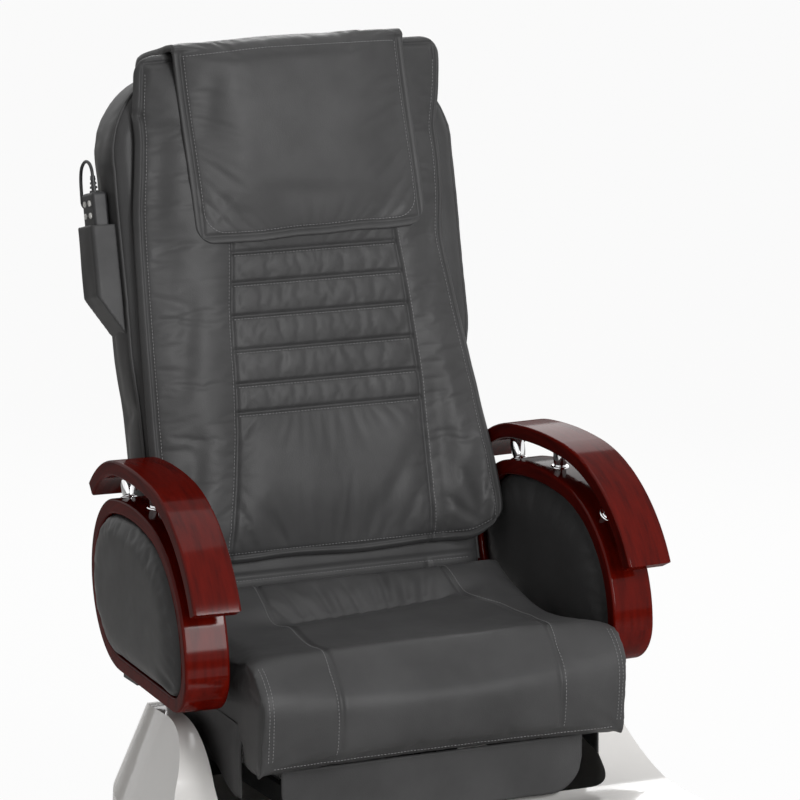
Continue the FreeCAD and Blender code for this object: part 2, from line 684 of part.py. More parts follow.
def make_slide_actuator():
    rear = RAIL_REAR_Y - BEAM
    front = rear - SLIDE_BODY_LENGTH
    motor_x = SLIDE_X + SLIDE_MOTOR_OFFSET
    motor_rear = rear - SLIDE_MOTOR_INSET
    body = rod((SLIDE_X, front, SLIDE_Z), (0, 1, 0), SLIDE_BODY_R, SLIDE_BODY_LENGTH)
    motor_front = motor_rear - SLIDE_MOTOR_LENGTH
    motor = rod((motor_x, motor_front, SLIDE_Z), (0, 1, 0), ACTUATOR_R, SLIDE_MOTOR_LENGTH)
    gear_case = box(SLIDE_X, motor_x, motor_rear - GEAR_LENGTH, motor_rear,
                    SLIDE_Z - GEAR_HALF, SLIDE_Z + GEAR_HALF)
    bore = rod((SLIDE_X, front, SLIDE_Z), (0, 1, 0), ROD_R + FIT, SLIDE_BODY_LENGTH - ROD_R)
    return fused([body, motor, gear_case]).cut(bore)


def make_slide_rod():
    start = MID_TUBE_Y + TUBE / 2
    return rod((SLIDE_X, start, SLIDE_Z), (0, 1, 0), ROD_R, RAIL_REAR_Y - BEAM - 2 * ROD_R - start)


def make_recline_actuator():
    front = FRAME_FRONT_Y + TUBE
    nose = 4 * TUBE
    body = rod((0, front + nose, RECLINE_ROD_Z), (0, 1, 0), ACTUATOR_R, ACTUATOR_LENGTH)
    body = body.makeFillet(ACTUATOR_R / 4, [edge_at(body, V(0, front + nose, RECLINE_ROD_Z), ACTUATOR_R)])
    eye = rod((0, front, RECLINE_ROD_Z), (0, 1, 0), ROD_R, nose)
    motor_x = -RECLINE_MOTOR_OFFSET
    motor = rod((motor_x, front + nose, RECLINE_ROD_Z), (0, 1, 0), ACTUATOR_R, ACTUATOR_LENGTH / 2)
    gear_case = box(motor_x, 0, front + nose + ROD_R, front + nose + ROD_R + GEAR_LENGTH,
                    RECLINE_ROD_Z - GEAR_HALF, RECLINE_ROD_Z + GEAR_HALF)
    bore = rod((0, front + nose + ROD_R, RECLINE_ROD_Z), (0, 1, 0), ROD_R + FIT, ACTUATOR_LENGTH)
    return fused([body, eye, motor, gear_case]).cut(bore)


def make_recline_rod():
    stop = FRAME_FRONT_Y + 5 * TUBE + LEVER_STROKE + 2 * ROD_R
    shank_end = LEVER_PIN_Y - ROD_END_HALF
    shank = rod((0, stop, RECLINE_ROD_Z), (0, 1, 0), ROD_R, shank_end - stop)
    reach = (LEVER_PIN_Z - LEVER_LOW_Z) / 2 + LEVER_PIN_R + SLOT_CLEAR
    slot_half = LEVER_PIN_R + SLOT_CLEAR
    eye = box(-ROD_END_THICK, ROD_END_THICK, shank_end, LEVER_PIN_Y + ROD_END_HALF,
              RECLINE_ROD_Z - reach - LEVER_PIN_R, RECLINE_ROD_Z + reach + LEVER_PIN_R)
    eye = eye.makeFillet(LEVER_PIN_R, [edge for edge in eye.Edges if edge.BoundBox.XLength > ROD_END_THICK])
    slot = box(-ROD_END_THICK, ROD_END_THICK, LEVER_PIN_Y - slot_half, LEVER_PIN_Y + slot_half,
               RECLINE_ROD_Z - reach, RECLINE_ROD_Z + reach)
    return fused([shank, eye]).cut(slot)


HINGE_PLATE_X = FRAME_X - TUBE / 2


def make_recline_hinge_plates():
    eye = 2 * PIVOT_PIN_R
    half = HINGE_FOOT_HALF
    x = HINGE_PLATE_X
    side = outline((x, RECLINE_Y - half, FRAME_TOP_Z), [
        (x, RECLINE_Y + half, FRAME_TOP_Z),
        (x, RECLINE_Y + eye, RECLINE_Z),
        ((x, RECLINE_Y, RECLINE_Z + eye), (x, RECLINE_Y - eye, RECLINE_Z)),
        (x, RECLINE_Y - half, FRAME_TOP_Z)])
    plate = slab(side, (PLATE, 0, 0))
    plate = plate.cut(rod((x - 1, RECLINE_Y, RECLINE_Z), (1, 0, 0), PIVOT_PIN_R + FIT, PLATE + 2))
    return Part.makeCompound(both_sides(plate))


def make_recline_pins():
    end = UPRIGHT_X + TUBE / 2 + 2 * LEVER_GAP
    pin = rod((HINGE_PLATE_X, RECLINE_Y, RECLINE_Z), (1, 0, 0), PIVOT_PIN_R, end - HINGE_PLATE_X)
    head = rod((HINGE_PLATE_X - PLATE, RECLINE_Y, RECLINE_Z), (1, 0, 0), PIVOT_HEAD_R, PLATE)
    return Part.makeCompound(both_sides(fused([pin, head])))


# Arm brackets with the stop that each arm rests on

BRACKET_X = TONGUE_X - TONGUE / 2 - 2 * PLATE
BRACKET_FRONT = FLIP_Y - BRACKET_FRONT_REACH
BRACKET_REAR = FLIP_Y + BRACKET_REAR_REACH
BRACKET_Z = CUSHION_Z + PLATE


def make_arm_bracket():
    x = BRACKET_X
    side_x = FRAME_X + TUBE / 2
    stop_z = ARM_Z + RING_BOTTOM - STOP_GAP
    arm_z = FLIP_Z - PLATE
    stop_front = FLIP_Y - STOP_REACH
    stop_rear = stop_front + STOP_LENGTH
    side = outline((x, BRACKET_FRONT, BRACKET_Z), [
        (x, BRACKET_REAR, BRACKET_Z),
        (x, FLIP_Y + FLIP_EYE_R, FLIP_Z),
        ((x, FLIP_Y, FLIP_Z + FLIP_EYE_R), (x, FLIP_Y - FLIP_EYE_R, FLIP_Z)),
        (x, stop_rear, arm_z),
        (x, stop_rear, stop_z),
        (x, stop_front, stop_z),
        (x, stop_front, arm_z - 2 * PLATE),
        (x, BRACKET_FRONT, arm_z - 3 * PLATE),
        (x, BRACKET_FRONT, BRACKET_Z)])
    plate = slab(side, (PLATE, 0, 0))
    shelf = box(side_x, x + PLATE, BRACKET_FRONT, BRACKET_REAR, BRACKET_Z, BRACKET_Z + PLATE)
    riser = box(side_x, side_x + PLATE, BRACKET_FRONT, BRACKET_REAR, FRAME_Z + PLATE, BRACKET_Z + PLATE)
    bore = rod((x - 1, FLIP_Y, FLIP_Z), (1, 0, 0), FLIP_PIN_R + FIT, PLATE + 2)
    return fused([plate, shelf, riser]).cut(bore)


def make_arm_pins():
    end = TONGUE_X + TONGUE / 2 + STOP_GAP
    pin = rod((BRACKET_X, FLIP_Y, FLIP_Z), (1, 0, 0), FLIP_PIN_R, end - BRACKET_X)
    head = rod((end, FLIP_Y, FLIP_Z), (1, 0, 0), FLIP_HEAD_R, FLIP_PIN_R)
    return Part.makeCompound(both_sides(fused([pin, head])))


# Seat upholstery

SEAT_TAPER = (SEAT_FRONT_HALF - SEAT_REAR_HALF) / (SEAT_REAR_Y - SEAT_FRONT_Y)


def make_seat_cushion():
    lip_y = FRAME_FRONT_Y - LEVER_GAP
    roll = (SEAT_FRONT_Y + SEAT_ROLL_R, SEAT_CROWN_Z - SEAT_ROLL_R)
    lip = (SEAT_FRONT_Y + SEAT_LIP_R + PLATE, SEAT_LIP_Z + SEAT_LIP_R)
    back = (SEAT_REAR_Y - SEAT_LIP_R, SEAT_REAR_Z - SEAT_LIP_R)
    x = -SEAT_FRONT_HALF

    def at(point):
        return (x, point[0], point[1])

    side = outline((x, lip_y, CUSHION_Z), [
        (x, SEAT_REAR_Y, CUSHION_Z),
        (x, SEAT_REAR_Y, back[1]),
        (at(polar(back, SEAT_LIP_R, 45)), (x, back[0], SEAT_REAR_Z)),
        ((x, (back[0] + roll[0]) / 2, SEAT_VALLEY_Z), (x, roll[0], SEAT_CROWN_Z)),
        (at(polar(roll, SEAT_ROLL_R, 135)), (x, SEAT_FRONT_Y, roll[1])),
        (x, lip[0] - SEAT_LIP_R, lip[1]),
        (at(polar(lip, SEAT_LIP_R, 225)), (x, lip[0], SEAT_LIP_Z)),
        (x, lip_y, SEAT_LIP_Z),
        (x, lip_y, CUSHION_Z)])
    cushion = slab(side, (2 * SEAT_FRONT_HALF, 0, 0))
    plan = Part.makePolygon([
        V(-SEAT_FRONT_HALF, SEAT_FRONT_Y, SEAT_LIP_Z), V(SEAT_FRONT_HALF, SEAT_FRONT_Y, SEAT_LIP_Z),
        V(SEAT_REAR_HALF, SEAT_REAR_Y, SEAT_LIP_Z), V(-SEAT_REAR_HALF, SEAT_REAR_Y, SEAT_LIP_Z),
        V(-SEAT_FRONT_HALF, SEAT_FRONT_Y, SEAT_LIP_Z)])
    return cushion.common(slab(plan, (0, 0, SEAT_REAR_Z)))


def make_front_skirt():
    y = SKIRT_Y
    low = SKIRT_HEM_Z
    turn = SKIRT_TURN_R
    near = turn * ARC_NEAR
    half = SKIRT_HALF
    face = outline((-half, y, SEAT_LIP_Z), [
        (-half, y, low + turn),
        ((-half + near, y, low + near), (-half + turn, y, low)),
        (half - turn, y, low),
        ((half - near, y, low + near), (half, y, low + turn)),
        (half, y, SEAT_LIP_Z),
        (-half, y, SEAT_LIP_Z)])
    return slab(face, (0, CLOTH, 0))


def make_valance():
    """Right-hand side flap, hung on the cushion's flat side face and deeper towards the front."""
    top = CUSHION_Z + SEAT_LIP_R
    x = SEAT_FRONT_HALF
    mid_y = VALANCE_FRONT_Y + VALANCE_SWEEP
    turn_y = (VALANCE_FRONT_Y + mid_y) / 2
    turn_z = (VALANCE_FRONT_HEM_Z + VALANCE_REAR_HEM_Z) / 2
    sag = VALANCE_SAG
    face = outline((x, VALANCE_FRONT_Y, top), [
        (x, VALANCE_FRONT_Y, VALANCE_FRONT_HEM_Z),
        ((x, (VALANCE_FRONT_Y + turn_y) / 2, (VALANCE_FRONT_HEM_Z + turn_z) / 2 - sag), (x, turn_y, turn_z)),
        ((x, (turn_y + mid_y) / 2, (VALANCE_REAR_HEM_Z + turn_z) / 2 + sag), (x, mid_y, VALANCE_REAR_HEM_Z)),
        (x, VALANCE_REAR_Y, VALANCE_REAR_HEM_Z),
        (x, VALANCE_REAR_Y, top),
        (x, VALANCE_FRONT_Y, top)])
    flap = slab(face, (CLOTH, 0, 0))
    flap.rotate(V(SEAT_FRONT_HALF, SEAT_FRONT_Y, 0), V(0, 0, 1), math.degrees(math.atan(SEAT_TAPER)))
    return flap


# Bentwood arms, drawn in the arm's own plane and then toed in

def crown_centres(apex, top_r, tangent, front_r, rear_r):
    """Centres of the front, top and rear arcs of a crown line, and the angles where they meet."""
    centres = []
    angles = []
    for s, radius in ((tangent[0], front_r), (tangent[1], rear_r)):
        share = (s - apex[0]) / top_r
        level = math.sqrt(1 - share ** 2)
        height = apex[1] - top_r * (1 - level)
        centres.append((s - share * radius, height - level * radius))
        angles.append(math.degrees(math.acos(share)))
    return [centres[0], (apex[0], apex[1] - top_r), centres[1]], angles


RAIL_CENTRES, RAIL_MEET = crown_centres(RAIL_APEX, RAIL_TOP_R, RAIL_TANGENT, RAIL_FRONT_R, RAIL_REAR_R)
RING_CENTRES, RING_MEET = crown_centres(RING_APEX, RING_TOP_R, RING_TANGENT, RING_FRONT_R, RING_REAR_R)
RAIL_RADII = [RAIL_FRONT_R, RAIL_TOP_R, RAIL_REAR_R]
RING_RADII = [RING_FRONT_R, RING_TOP_R, RING_REAR_R]
RING_TOE_R = RING_CENTRES[0][1] - RING_BOTTOM
RING_HEEL_R = RING_CENTRES[2][1] - RING_BOTTOM
RING_TOE = (RING_CENTRES[0][0] - RING_FRONT_R + RING_TOE_R, RING_CENTRES[0][1])
RING_HEEL = (RING_CENTRES[2][0] + RING_REAR_R - RING_HEEL_R, RING_CENTRES[2][1])


def arc_steps(half, spans):
    """Steps for an outline through arcs given as centre, radius, start angle and end angle."""
    steps = []
    for centre, radius, first, last in spans:
        middle = polar(centre, radius, (first + last) / 2)
        end = polar(centre, radius, last)
        steps.append(((-half, middle[0], middle[1]), (-half, end[0], end[1])))
    return steps


def rail_blank():
    ends = [math.degrees(math.acos((RAIL_ENDS[0] - RAIL_CENTRES[0][0]) / RAIL_FRONT_R)),
            math.degrees(math.acos((RAIL_ENDS[1] - RAIL_CENTRES[2][0]) / RAIL_REAR_R))]
    turns = [ends[0], RAIL_MEET[0], RAIL_MEET[1], ends[1]]
    upper = [(RAIL_CENTRES[i], RAIL_RADII[i], turns[i], turns[i + 1]) for i in range(3)]
    lower = [(RAIL_CENTRES[i], RAIL_RADII[i] - RAIL_THICK, turns[i + 1], turns[i]) for i in (2, 1, 0)]
    start = polar(RAIL_CENTRES[0], RAIL_FRONT_R, ends[0])
    heel = polar(RAIL_CENTRES[2], RAIL_REAR_R - RAIL_THICK, ends[1])
    steps = arc_steps(RAIL_HALF, upper) + [(-RAIL_HALF, heel[0], heel[1])]
    steps += arc_steps(RAIL_HALF, lower) + [(-RAIL_HALF, start[0], start[1])]
    blank = slab(outline((-RAIL_HALF, start[0], start[1]), steps), (2 * RAIL_HALF, 0, 0))
    return eased(blank, RAIL_HALF, RAIL_EDGE_R)


def ring_blank(half, inset):
    """The ring's outline drawn in by an inset, as a solid of the given half width."""
    spans = [
        (RING_CENTRES[0], RING_FRONT_R - inset, 180.0, RING_MEET[0]),
        (RING_CENTRES[1], RING_TOP_R - inset, RING_MEET[0], RING_MEET[1]),
        (RING_CENTRES[2], RING_REAR_R - inset, RING_MEET[1], 0.0),
        (RING_HEEL, RING_HEEL_R - inset, 0.0, -90.0)]
    start = polar(RING_CENTRES[0], RING_FRONT_R - inset, 180.0)
    toe = polar(RING_TOE, RING_TOE_R - inset, 270.0)
    steps = arc_steps(half, spans) + [(-half, toe[0], toe[1])]
    steps += arc_steps(half, [(RING_TOE, RING_TOE_R - inset, 270.0, 180.0)])
    return slab(outline((-half, start[0], start[1]), steps), (2 * half, 0, 0))


def eased(solid, half, radius):
    """Round over every edge of the two side faces."""
    edges = [edge for edge in solid.Edges if abs(edge.BoundBox.XMin - edge.BoundBox.XMax) < TINY]
    edges = [edge for edge in edges if abs(abs(edge.BoundBox.Center.x) - half) < TINY]
    return solid.makeFillet(radius, edges)


def reach_along(centre, direction, other, radius):
    """Distance from a centre along a direction to a circle about another centre."""
    dx = centre[0] - other[0]
    dz = centre[1] - other[1]
    along = dx * direction[0] + dz * direction[1]
    return -along + math.sqrt(along ** 2 - dx ** 2 - dz ** 2 + radius ** 2)


def post_places():
    """Ring seat, direction and length of each spacer post between the ring and the rail."""
    for angle in POST_ANGLES:
        index = 0 if angle > RING_MEET[0] else 1 if angle > RING_MEET[1] else 2
        centre = RING_CENTRES[index]
        direction = polar((0, 0), 1.0, angle)
        near = RING_RADII[index] - POST_SINK
        far = reach_along(centre, direction, RAIL_CENTRES[index], RAIL_RADII[index] - RAIL_THICK) + POST_SINK
        seat = polar(centre, near, angle)
        yield V(0, seat[0], seat[1]), V(0, direction[0], direction[1]), far - near


def spacer_post(length):
    profile = outline((0, 0, 0), [
        (POST_FOOT_R, 0, 0),
        (POST_FOOT_R, 0, POST_FOOT / 2),
        ((POST_FOOT_ROUND[0], 0, POST_FOOT_ROUND[1]), (POST_FOOT_TOP_R, 0, POST_FOOT)),
        (POST_R, 0, POST_FOOT),
        ((POST_SWELL_R, 0, (POST_FOOT + length) / 2), (POST_R, 0, length)),
        (0, 0, length),
        (0, 0, 0)])
    return Part.Face(profile).revolve(V(0, 0, 0), V(0, 0, 1), 360)


ARM_PLACE = FreeCAD.Placement(V(ARM_X, ARM_Y, ARM_Z), FreeCAD.Rotation(V(0, 0, 1), ARM_TOE))


def on_arm(shape):
    placed = shape.copy()
    placed.Placement = ARM_PLACE.multiply(placed.Placement)
    return placed


def make_arm_spacers():
    posts = []
    for seat, direction, length in post_places():
        post = spacer_post(length)
        post.Placement = FreeCAD.Placement(seat, FreeCAD.Rotation(V(0, 0, 1), direction))
        posts.append(post)
    return on_arm(Part.makeCompound(posts))


def make_arm_rail():
    rail = rail_blank()
    for seat, direction, length in post_places():
        top = seat + direction * length
        bore = Part.makeCylinder(POST_SWELL_R, 4 * POST_SINK, top - direction * 4 * POST_SINK, direction)
        rail = rail.cut(bore)
    return on_arm(rail)


def make_arm_ring():
    ring = ring_blank(RING_HALF, 0.0).cut(ring_blank(RING_HALF, RING_BAND))
    ring = eased(ring, RING_HALF, RING_EDGE_R)
    for seat, direction, length in post_places():
        ring = ring.cut(Part.makeCylinder(POST_FOOT_R + FIT, 4 * POST_SINK, seat, direction))
    return on_arm(ring)


def make_arm_panel():
    return on_arm(eased(ring_blank(PANEL_HALF, RING_BAND), PANEL_HALF, PANEL_EDGE_R))


def make_arm_hinge():
    first, last = HINGE_STRIP_ANGLES
    outer_r = RING_HEEL_R + HINGE_STRIP
    start = polar(RING_HEEL, RING_HEEL_R, first)
    turn = polar(RING_HEEL, outer_r, last)
    half = HINGE_STRIP_HALF
    steps = arc_steps(half, [(RING_HEEL, RING_HEEL_R, first, last)]) + [(-half, turn[0], turn[1])]
    low = polar(RING_HEEL, outer_r, first)
    steps += arc_steps(half, [(RING_HEEL, outer_r, last, first)]) + [(-half, start[0], start[1])]
    strip = on_arm(slab(outline((-half, start[0], start[1]), steps), (2 * half, 0, 0)))
    x = TONGUE_X - TONGUE / 2
    toe = math.cos(math.radians(ARM_TOE))
    front = V(x, ARM_Y + low[0] * toe, ARM_Z + low[1] + HINGE_STRIP)
    rear = V(x, ARM_Y + turn[0] * toe, ARM_Z + turn[1] + 2 * HINGE_STRIP)
    eye = FLIP_EYE_R
    side = outline((x, FLIP_Y - eye, FLIP_Z), [
        (front.x, (front.y + rear.y) / 2, (FLIP_Z + front.z) / 2 + eye),
        (rear.x, rear.y, rear.z),
        (x, FLIP_Y + eye, FLIP_Z),
        ((x, FLIP_Y, FLIP_Z - eye), (x, FLIP_Y - eye, FLIP_Z))])
    tongue = slab(side, (TONGUE, 0, 0)).cut(on_arm(ring_blank(RING_HALF, 0.0)))
    bore = rod((x - 1, FLIP_Y, FLIP_Z), (1, 0, 0), FLIP_PIN_R + FIT, TONGUE + 2)
    return fused([strip, tongue]).cut(bore)


# Backrest, drawn upright with depth along Y and height along Z, then reclined

BACK_PLACE = FreeCAD.Placement(V(0, BACK_Y, BACK_Z), FreeCAD.Rotation(V(1, 0, 0), -BACK_TILT))
HINGE_LOCAL = BACK_PLACE.inverse().multVec(V(0, RECLINE_Y, RECLINE_Z))
LEVER_PIN_LOCAL = BACK_PLACE.inverse().multVec(V(0, LEVER_PIN_Y, LEVER_PIN_Z))
BODY_FRONT = PAD_THICK + SOFT_GAP
SHELL_FRONT = BODY_FRONT + BODY_FOAM
CAVITY_REAR = BODY_DEPTH - BODY_WALL


def on_back(shape):
    placed = shape.copy()
    placed.Placement = BACK_PLACE.multiply(placed.Placement)
    return placed


def back_outline(inset, y):
    """Closed wire of the upholstered back's outline, drawn in by an inset, at a depth."""
    low = BODY_LOW_HALF - inset
    high = BODY_HIGH_HALF - inset
    bottom = BODY_BOTTOM + inset
    top = BODY_TOP - inset
    corner = BODY_TOP_R - inset
    near = corner * ARC_NEAR
    return outline((-low, y, bottom), [
        (low, y, bottom),
        (low, y, BODY_WAIST),
        (high, y, BODY_SHOULDER),
        (high, y, top - corner),
        ((high - near, y, top - near), (high - corner, y, top)),
        (corner - high, y, top),
        ((near - high, y, top - near), (-high, y, top - corner)),
        (-high, y, BODY_SHOULDER),
        (-low, y, BODY_WAIST),
        (-low, y, bottom)])


def make_back_cushion():
    foam = slab(back_outline(0.0, BODY_FRONT), (0, BODY_FOAM, 0))
    window = box(-WINDOW_HALF, WINDOW_HALF, BODY_FRONT, SHELL_FRONT, WINDOW_BOTTOM, WINDOW_TOP)
    return on_back(foam.cut(window))


def make_back_shell():
    shell = slab(back_outline(0.0, SHELL_FRONT), (0, BODY_DEPTH - SHELL_FRONT, 0))
    rim = [edge for edge in shell.Edges if abs(edge.BoundBox.YMin - BODY_DEPTH) < TINY]
    shell = shell.makeFillet(2 * BODY_WALL, rim)
    shell = shell.cut(slab(back_outline(BODY_WALL, SHELL_FRONT), (0, CAVITY_REAR - SHELL_FRONT, 0)))
    leg = TUBE + 2 * LEVER_GAP
    for side in (-1, 1):
        x = side * UPRIGHT_X
        shell = shell.cut(box(x - leg / 2, x + leg / 2, UPRIGHT_DEPTH - leg, UPRIGHT_DEPTH + leg,
                              BODY_BOTTOM - 1, BODY_BOTTOM + 2 * BODY_WALL))
    lever_half = ROD_END_THICK + LEVER_GAP + 2 * PLATE
    shell = shell.cut(box(-lever_half, lever_half, SHELL_FRONT, CAVITY_REAR,
                          BODY_BOTTOM - 1, BODY_BOTTOM + 2 * BODY_WALL))
    lead_hole = rod((-BODY_HIGH_HALF - 1, LEAD_END[1], LEAD_END[2]), (1, 0, 0), GROMMET_R, 2 * BODY_WALL)
    return on_back(shell.cut(lead_hole))


def make_back_pad():
    y = 0.0
    corner = PAD_CORNER_R
    near = corner * ARC_NEAR
    low = PAD_BOTTOM_HALF
    high = PAD_TOP_HALF
    face = outline((corner - low, y, PAD_BOTTOM), [
        (low - corner, y, PAD_BOTTOM),
        ((low - near, y, PAD_BOTTOM + near), (low, y, PAD_BOTTOM + corner)),
        (high, y, PAD_TOP - corner),
        ((high - near, y, PAD_TOP - near), (high - corner, y, PAD_TOP)),
        (corner - high, y, PAD_TOP),
        ((near - high, y, PAD_TOP - near), (-high, y, PAD_TOP - corner)),
        (-low, y, PAD_BOTTOM + corner),
        ((near - low, y, PAD_BOTTOM + near), (corner - low, y, PAD_BOTTOM))])
    return on_back(slab(face, (0, PAD_THICK, 0)))


def make_head_pillow():
    """Padded head flap hung over the top of the back on a thin tail that falls behind it."""
    y = -PILLOW_THICK
    corner = PILLOW_CORNER_R
    near = corner * ARC_NEAR
    half = PILLOW_HALF
    top = PAD_TOP + PILLOW_BRIDGE
    face = outline((corner - half, y, PILLOW_BOTTOM), [
        (half - corner, y, PILLOW_BOTTOM),
        ((half - near, y, PILLOW_BOTTOM + near), (half, y, PILLOW_BOTTOM + corner)),
        (half, y, top),
        (-half, y, top),
        (-half, y, PILLOW_BOTTOM + corner),
        ((near - half, y, PILLOW_BOTTOM + near), (corner - half, y, PILLOW_BOTTOM))])
    front = slab(face, (0, PILLOW_THICK, 0))
    bridge = box(-half, half, -PILLOW_THICK, BODY_DEPTH + CLOTH, PAD_TOP, top)
    tail = box(-half, half, BODY_DEPTH, BODY_DEPTH + CLOTH, top - PILLOW_TAIL, top)
    pillow = fused([front, bridge, tail])
    crest = [edge for edge in pillow.Edges if edge.BoundBox.ZMin > top - TINY]
    crest = [edge for edge in crest if edge.BoundBox.XLength > half]
    crest = [edge for edge in crest if edge.BoundBox.YMax < 1 - PILLOW_THICK]
    return on_back(pillow.makeFillet(PILLOW_CREST_R, crest))


def make_back_frame():
    near = UPRIGHT_X - TUBE / 2
    far = UPRIGHT_X + TUBE / 2
    front = UPRIGHT_DEPTH - BEAM / 2
    rear = UPRIGHT_DEPTH + BEAM / 2
    foot = rod((near, HINGE_LOCAL.y, HINGE_LOCAL.z), (1, 0, 0), BEAM / 2, TUBE)
    post = fused([box(near, far, front, rear, HINGE_LOCAL.z, UPRIGHT_TOP), foot])
    post = post.cut(rod((near - 1, HINGE_LOCAL.y, HINGE_LOCAL.z), (1, 0, 0), PIVOT_PIN_R + FIT, TUBE + 2))
    bars = [box(-near, near, front, rear, z, z + TUBE) for z in (BAR_LOW - TUBE, BAR_HIGH)]
    span = BAR_HIGH - BAR_LOW + 2 * TUBE
    journals = rod((0, SCREW_DEPTH, BAR_LOW - TUBE), (0, 0, 1), JOURNAL_R + FIT, span)
    lever_in = ROD_END_THICK + LEVER_GAP
    top = V(0, UPRIGHT_DEPTH, BAR_LOW - TUBE / 2)
    arm = LEVER_PIN_LOCAL - top
    width = 2 * ROD_END_THICK
    levers = []
    for x in (-lever_in - PLATE, lever_in):
        blade = Part.makeBox(PLATE, width, arm.Length, V(0, -width / 2, 0))
        blade = fused([blade, rod((0, 0, arm.Length), (1, 0, 0), width / 2, PLATE)])
        turn = math.degrees(math.atan2(-arm.y, arm.z))
        blade.Placement = FreeCAD.Placement(V(x, top.y, top.z), FreeCAD.Rotation(V(1, 0, 0), turn))
        levers.append(blade)
    lever_out = lever_in + PLATE
    pin = rod((-lever_out, LEVER_PIN_LOCAL.y, LEVER_PIN_LOCAL.z), (1, 0, 0), LEVER_PIN_R, 2 * lever_out)
    return on_back(fused(both_sides(post) + bars + levers + [pin]).cut(journals))


# Massage mechanism

SHAFT_Z = CARRIAGE_LOW + CARRIAGE_HEIGHT / 2
CHANNEL_LIP = 4.0


def make_massage_guides():
    half = GUIDE_WIDTH / 2
    front = SCREW_DEPTH - CARRIAGE_PLATE / 2 - CHANNEL_LIP - CARRIAGE_GAP
    rear = SCREW_DEPTH + CARRIAGE_PLATE / 2 + CHANNEL_LIP + CARRIAGE_GAP
    channel = box(GUIDE_X - half, GUIDE_X + half, front, rear, BAR_LOW, BAR_HIGH)
    groove = box(GUIDE_X - half, GUIDE_X + half - CHANNEL_LIP, front + CHANNEL_LIP, rear - CHANNEL_LIP,
                 BAR_LOW, BAR_HIGH)
    return on_back(Part.makeCompound(both_sides(channel.cut(groove))))


def make_massage_carriage():
    half = GUIDE_X + GUIDE_WIDTH / 2 - CHANNEL_LIP - CARRIAGE_GAP
    front = SCREW_DEPTH - CARRIAGE_PLATE / 2
    rear = SCREW_DEPTH + CARRIAGE_PLATE / 2
    top = CARRIAGE_LOW + CARRIAGE_HEIGHT
    plate = box(-half, half, front, rear, CARRIAGE_LOW, top)
    room = ROLLER_R + ROLLER_THROW + LEVER_GAP
    ear_in = ROLLER_X + ROLLER_WIDTH / 2 + 2 * LEVER_GAP
    for side in (-1, 1):
        x = side * ROLLER_X
        wide = ROLLER_WIDTH / 2 + LEVER_GAP
        plate = plate.cut(box(x - wide, x + wide, front, rear, SHAFT_Z - room, SHAFT_Z + room))
    ears = []
    for side in (-1, 1):
        x = ear_in if side > 0 else -ear_in - 2 * PLATE
        block = box(x, x + 2 * PLATE, SHAFT_DEPTH, front, SHAFT_Z - 2 * SHAFT_R, SHAFT_Z + 2 * SHAFT_R)
        ears.append(fused([block, rod((x, SHAFT_DEPTH, SHAFT_Z), (1, 0, 0), 2 * SHAFT_R, 2 * PLATE)]))
    carriage = fused([plate] + ears)
    carriage = carriage.cut(rod((-half, SHAFT_DEPTH, SHAFT_Z), (1, 0, 0), SHAFT_R + FIT, 2 * half))
    nut = rod((0, SCREW_DEPTH, CARRIAGE_LOW), (0, 0, 1), SCREW_R + RUNNER_GAP, CARRIAGE_HEIGHT)
    return on_back(carriage.cut(nut))


def make_massage_motor():
    depth = SCREW_DEPTH + CARRIAGE_PLATE / 2 + MOTOR_R
    z = CARRIAGE_LOW + CARRIAGE_HEIGHT - MOTOR_R
    can = rod((-MOTOR_LENGTH / 2, depth, z), (1, 0, 0), MOTOR_R, MOTOR_LENGTH)
    gear_case = box(-MOTOR_R, MOTOR_R, SCREW_DEPTH + CARRIAGE_PLATE / 2, depth, CARRIAGE_LOW, z)
    return on_back(fused([can, gear_case]))


def make_lead_screw():
    gap = RUNNER_GAP
    thread = rod((0, SCREW_DEPTH, BAR_LOW + gap), (0, 0, 1), SCREW_R, BAR_HIGH - BAR_LOW - 2 * gap)
    journal = rod((0, SCREW_DEPTH, BAR_LOW - TUBE / 2), (0, 0, 1), JOURNAL_R, BAR_HIGH - BAR_LOW + TUBE)
    return on_back(fused([thread, journal]))


def make_kneading_shaft():
    end = ROLLER_X + ROLLER_WIDTH / 2 + 2 * LEVER_GAP + 2 * PLATE
    return on_back(rod((-end, SHAFT_DEPTH, SHAFT_Z), (1, 0, 0), SHAFT_R, 2 * end))


def make_massage_rollers():
    rollers = []
    for side in (-1, 1):
        x = side * ROLLER_X - ROLLER_WIDTH / 2
        wheel = rod((x, SHAFT_DEPTH, SHAFT_Z + side * ROLLER_THROW), (1, 0, 0), ROLLER_R, ROLLER_WIDTH)
        wheel = wheel.makeFillet(ROLLER_WIDTH / 3, [edge for edge in wheel.Edges if edge.isClosed()])
        rollers.append(wheel.cut(rod((x - 1, SHAFT_DEPTH, SHAFT_Z), (1, 0, 0), SHAFT_R, ROLLER_WIDTH + 2)))
    return on_back(Part.makeCompound(rollers))


# Handset, its pocket and its lead on the sitter's right

HANDSET_X = -BODY_HIGH_HALF - POCKET_ROOM - HANDSET_THICK / 2
HANDSET_TOP = HANDSET_BOTTOM + HANDSET_LENGTH
HANDSET_OUT = HANDSET_X - HANDSET_THICK / 2
GROMMET_LIP = 4.0
LEAD_EXIT = (HANDSET_X, HANDSET_DEPTH, HANDSET_TOP + RELIEF_LENGTH)
LEAD_END = (-BODY_HIGH_HALF - GROMMET_LIP, 131.0, 556.0)
LEAD_ROUTE = [LEAD_EXIT, (HANDSET_X, HANDSET_DEPTH, 619.0), (-287.5, 103.0, 634.0), (-290.0, 127.0, 624.0),
              (-292.0, 134.0, 604.0), (-294.0, 133.5, 581.0), (-295.0, 131.0, 556.0), LEAD_END]


